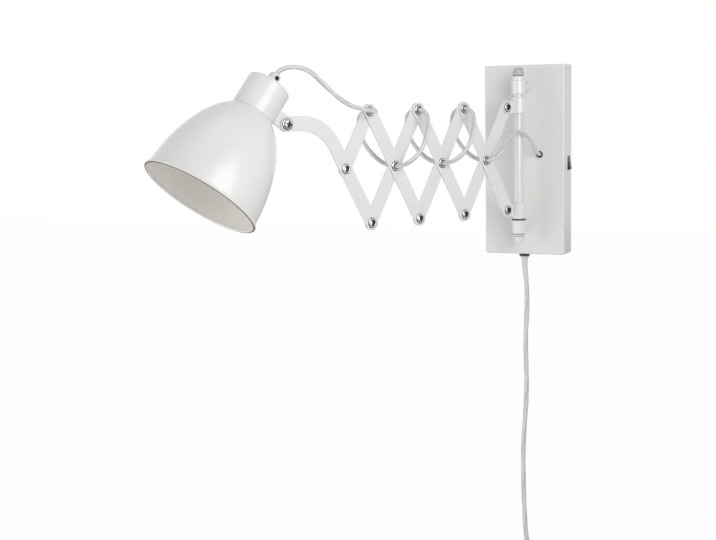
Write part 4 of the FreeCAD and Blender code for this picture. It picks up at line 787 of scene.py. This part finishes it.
def rocker_marks():
    """Ring on the upper half, which is the off side, and a bar on the lower one."""
    verts = []
    for k in range(MARK_POINTS):
        a = 2 * math.pi * k / MARK_POINTS
        verts += [on_rocker(r * math.sin(a), RING_UP + r * math.cos(a)) for r in (RING_INNER, RING_OUTER)]
    faces = [(2 * k, 2 * k + 1, 2 * n + 1, 2 * n)
             for k, n in ((k, (k + 1) % MARK_POINTS) for k in range(MARK_POINTS))]
    off = place("rocker_mark_off", verts, faces, MARK_WHITE)
    bar = [on_rocker(y, -z) for y, z in (
        (BAR_HALF, BAR_NEAR), (-BAR_HALF, BAR_NEAR), (-BAR_HALF, ROCK_SLOPE), (-BAR_HALF, BAR_FAR),
        (BAR_HALF, BAR_FAR), (BAR_HALF, ROCK_SLOPE))]
    on = place("rocker_mark_on", bar, [(0, 1, 2, 5), (5, 2, 3, 4)], MARK_WHITE)
    return off, on


bezel = switch_bezel()
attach(bezel, "wall_unit")
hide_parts("switch_housing")
rocker_piece = rocker()
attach(rocker_piece, "switch_rocker")
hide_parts("switch_rocker")
for mark in rocker_marks():
    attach(mark, "switch_rocker")


# ---- floor, light and background --------------------------------------------------------------
FLOOR_HALF, FLOOR_DROP = 6.0, 0.12        # metres
FLOOR_GLOW = 0.98                         # share of white that the camera sees, over the floor's shadows
WORLD_LIGHT = 0.37
ARM_AIM, SHADE_AIM = (-0.12, -0.15, -0.02), (-0.22, -0.35, -0.05)


def floor_material():
    m = bpy.data.materials.new("pale_floor")
    m.use_nodes = True
    tree = m.node_tree
    shader = tree.nodes["Principled BSDF"]
    shader.inputs["Base Color"].default_value = (0.9, 0.9, 0.9, 1)
    shader.inputs["Roughness"].default_value = 0.8
    glow = tree.nodes.new("ShaderNodeEmission")
    glow.inputs["Color"].default_value = (1, 1, 1, 1)
    path = tree.nodes.new("ShaderNodeLightPath")
    share = tree.nodes.new("ShaderNodeMath")
    share.operation = "MULTIPLY"
    share.inputs[1].default_value = FLOOR_GLOW
    mix = tree.nodes.new("ShaderNodeMixShader")
    tree.links.new(path.outputs["Is Camera Ray"], share.inputs[0])
    tree.links.new(share.outputs[0], mix.inputs["Fac"])
    tree.links.new(shader.outputs[0], mix.inputs[1])
    tree.links.new(glow.outputs[0], mix.inputs[2])
    tree.links.new(mix.outputs[0], tree.nodes["Material Output"].inputs["Surface"])
    return m


def make_floor():
    level = CAD_BOX[0].z - FLOOR_DROP
    corners = [(x * FLOOR_HALF, y * FLOOR_HALF, level) for x, y in ((-1, -1), (1, -1), (1, 1), (-1, 1))]
    mesh = bpy.data.meshes.new("floor")
    mesh.from_pydata(corners, [], [(0, 1, 2, 3)])
    mesh.materials.append(floor_material())
    floor = bpy.data.objects.new("floor", mesh)
    bpy.context.scene.collection.objects.link(floor)


def area_light(name, spot, aim, size, power):
    data = bpy.data.lights.new(name, "AREA")
    data.shape = "DISK"
    data.size = size
    data.energy = power
    light = bpy.data.objects.new(name, data)
    light.location = spot
    light.rotation_euler = (Vector(aim) - Vector(spot)).to_track_quat("-Z", "Y").to_euler()
    bpy.context.scene.collection.objects.link(light)


def make_world():
    """White where it is seen directly, through or in a reflection, and a plain light level otherwise."""
    world = bpy.data.worlds.new("studio")
    bpy.context.scene.world = world
    world.use_nodes = True
    tree = world.node_tree
    path = tree.nodes.new("ShaderNodeLightPath")
    seen = path.outputs["Is Camera Ray"]
    for ray in ("Is Transmission Ray", "Is Glossy Ray"):
        either = tree.nodes.new("ShaderNodeMath")
        either.operation = "MAXIMUM"
        tree.links.new(seen, either.inputs[0])
        tree.links.new(path.outputs[ray], either.inputs[1])
        seen = either.outputs[0]
    level = tree.nodes.new("ShaderNodeMapRange")
    level.inputs["To Min"].default_value = WORLD_LIGHT
    level.inputs["To Max"].default_value = 1.0
    tree.links.new(seen, level.inputs["Value"])
    background = tree.nodes["Background"]
    background.inputs["Color"].default_value = (1, 1, 1, 1)
    tree.links.new(level.outputs["Result"], background.inputs["Strength"])


make_floor()
# place, aim, size in metres and power in watts
area_light("left", (-1.15, -1.15, 0.08), ARM_AIM, 0.8, 3.6)
area_light("front_low", (0.1, -1.1, -0.6), ARM_AIM, 0.8, 0.8)
area_light("left_low", (-1.0, -0.8, -0.55), SHADE_AIM, 0.8, 2.2)
area_light("top", (-0.1, -0.5, 1.3), ARM_AIM, 0.8, 1.4)
area_light("below", (-0.75, -0.55, -0.8), SHADE_AIM, 0.6, 0.5)
area_light("head", (0.66, -0.86, 0.24), (-0.22, -0.35, 0.0), 0.8, 5.8)
make_world()

bpy.context.scene.view_settings.view_transform = "Standard"

bpy.context.view_layer.update()
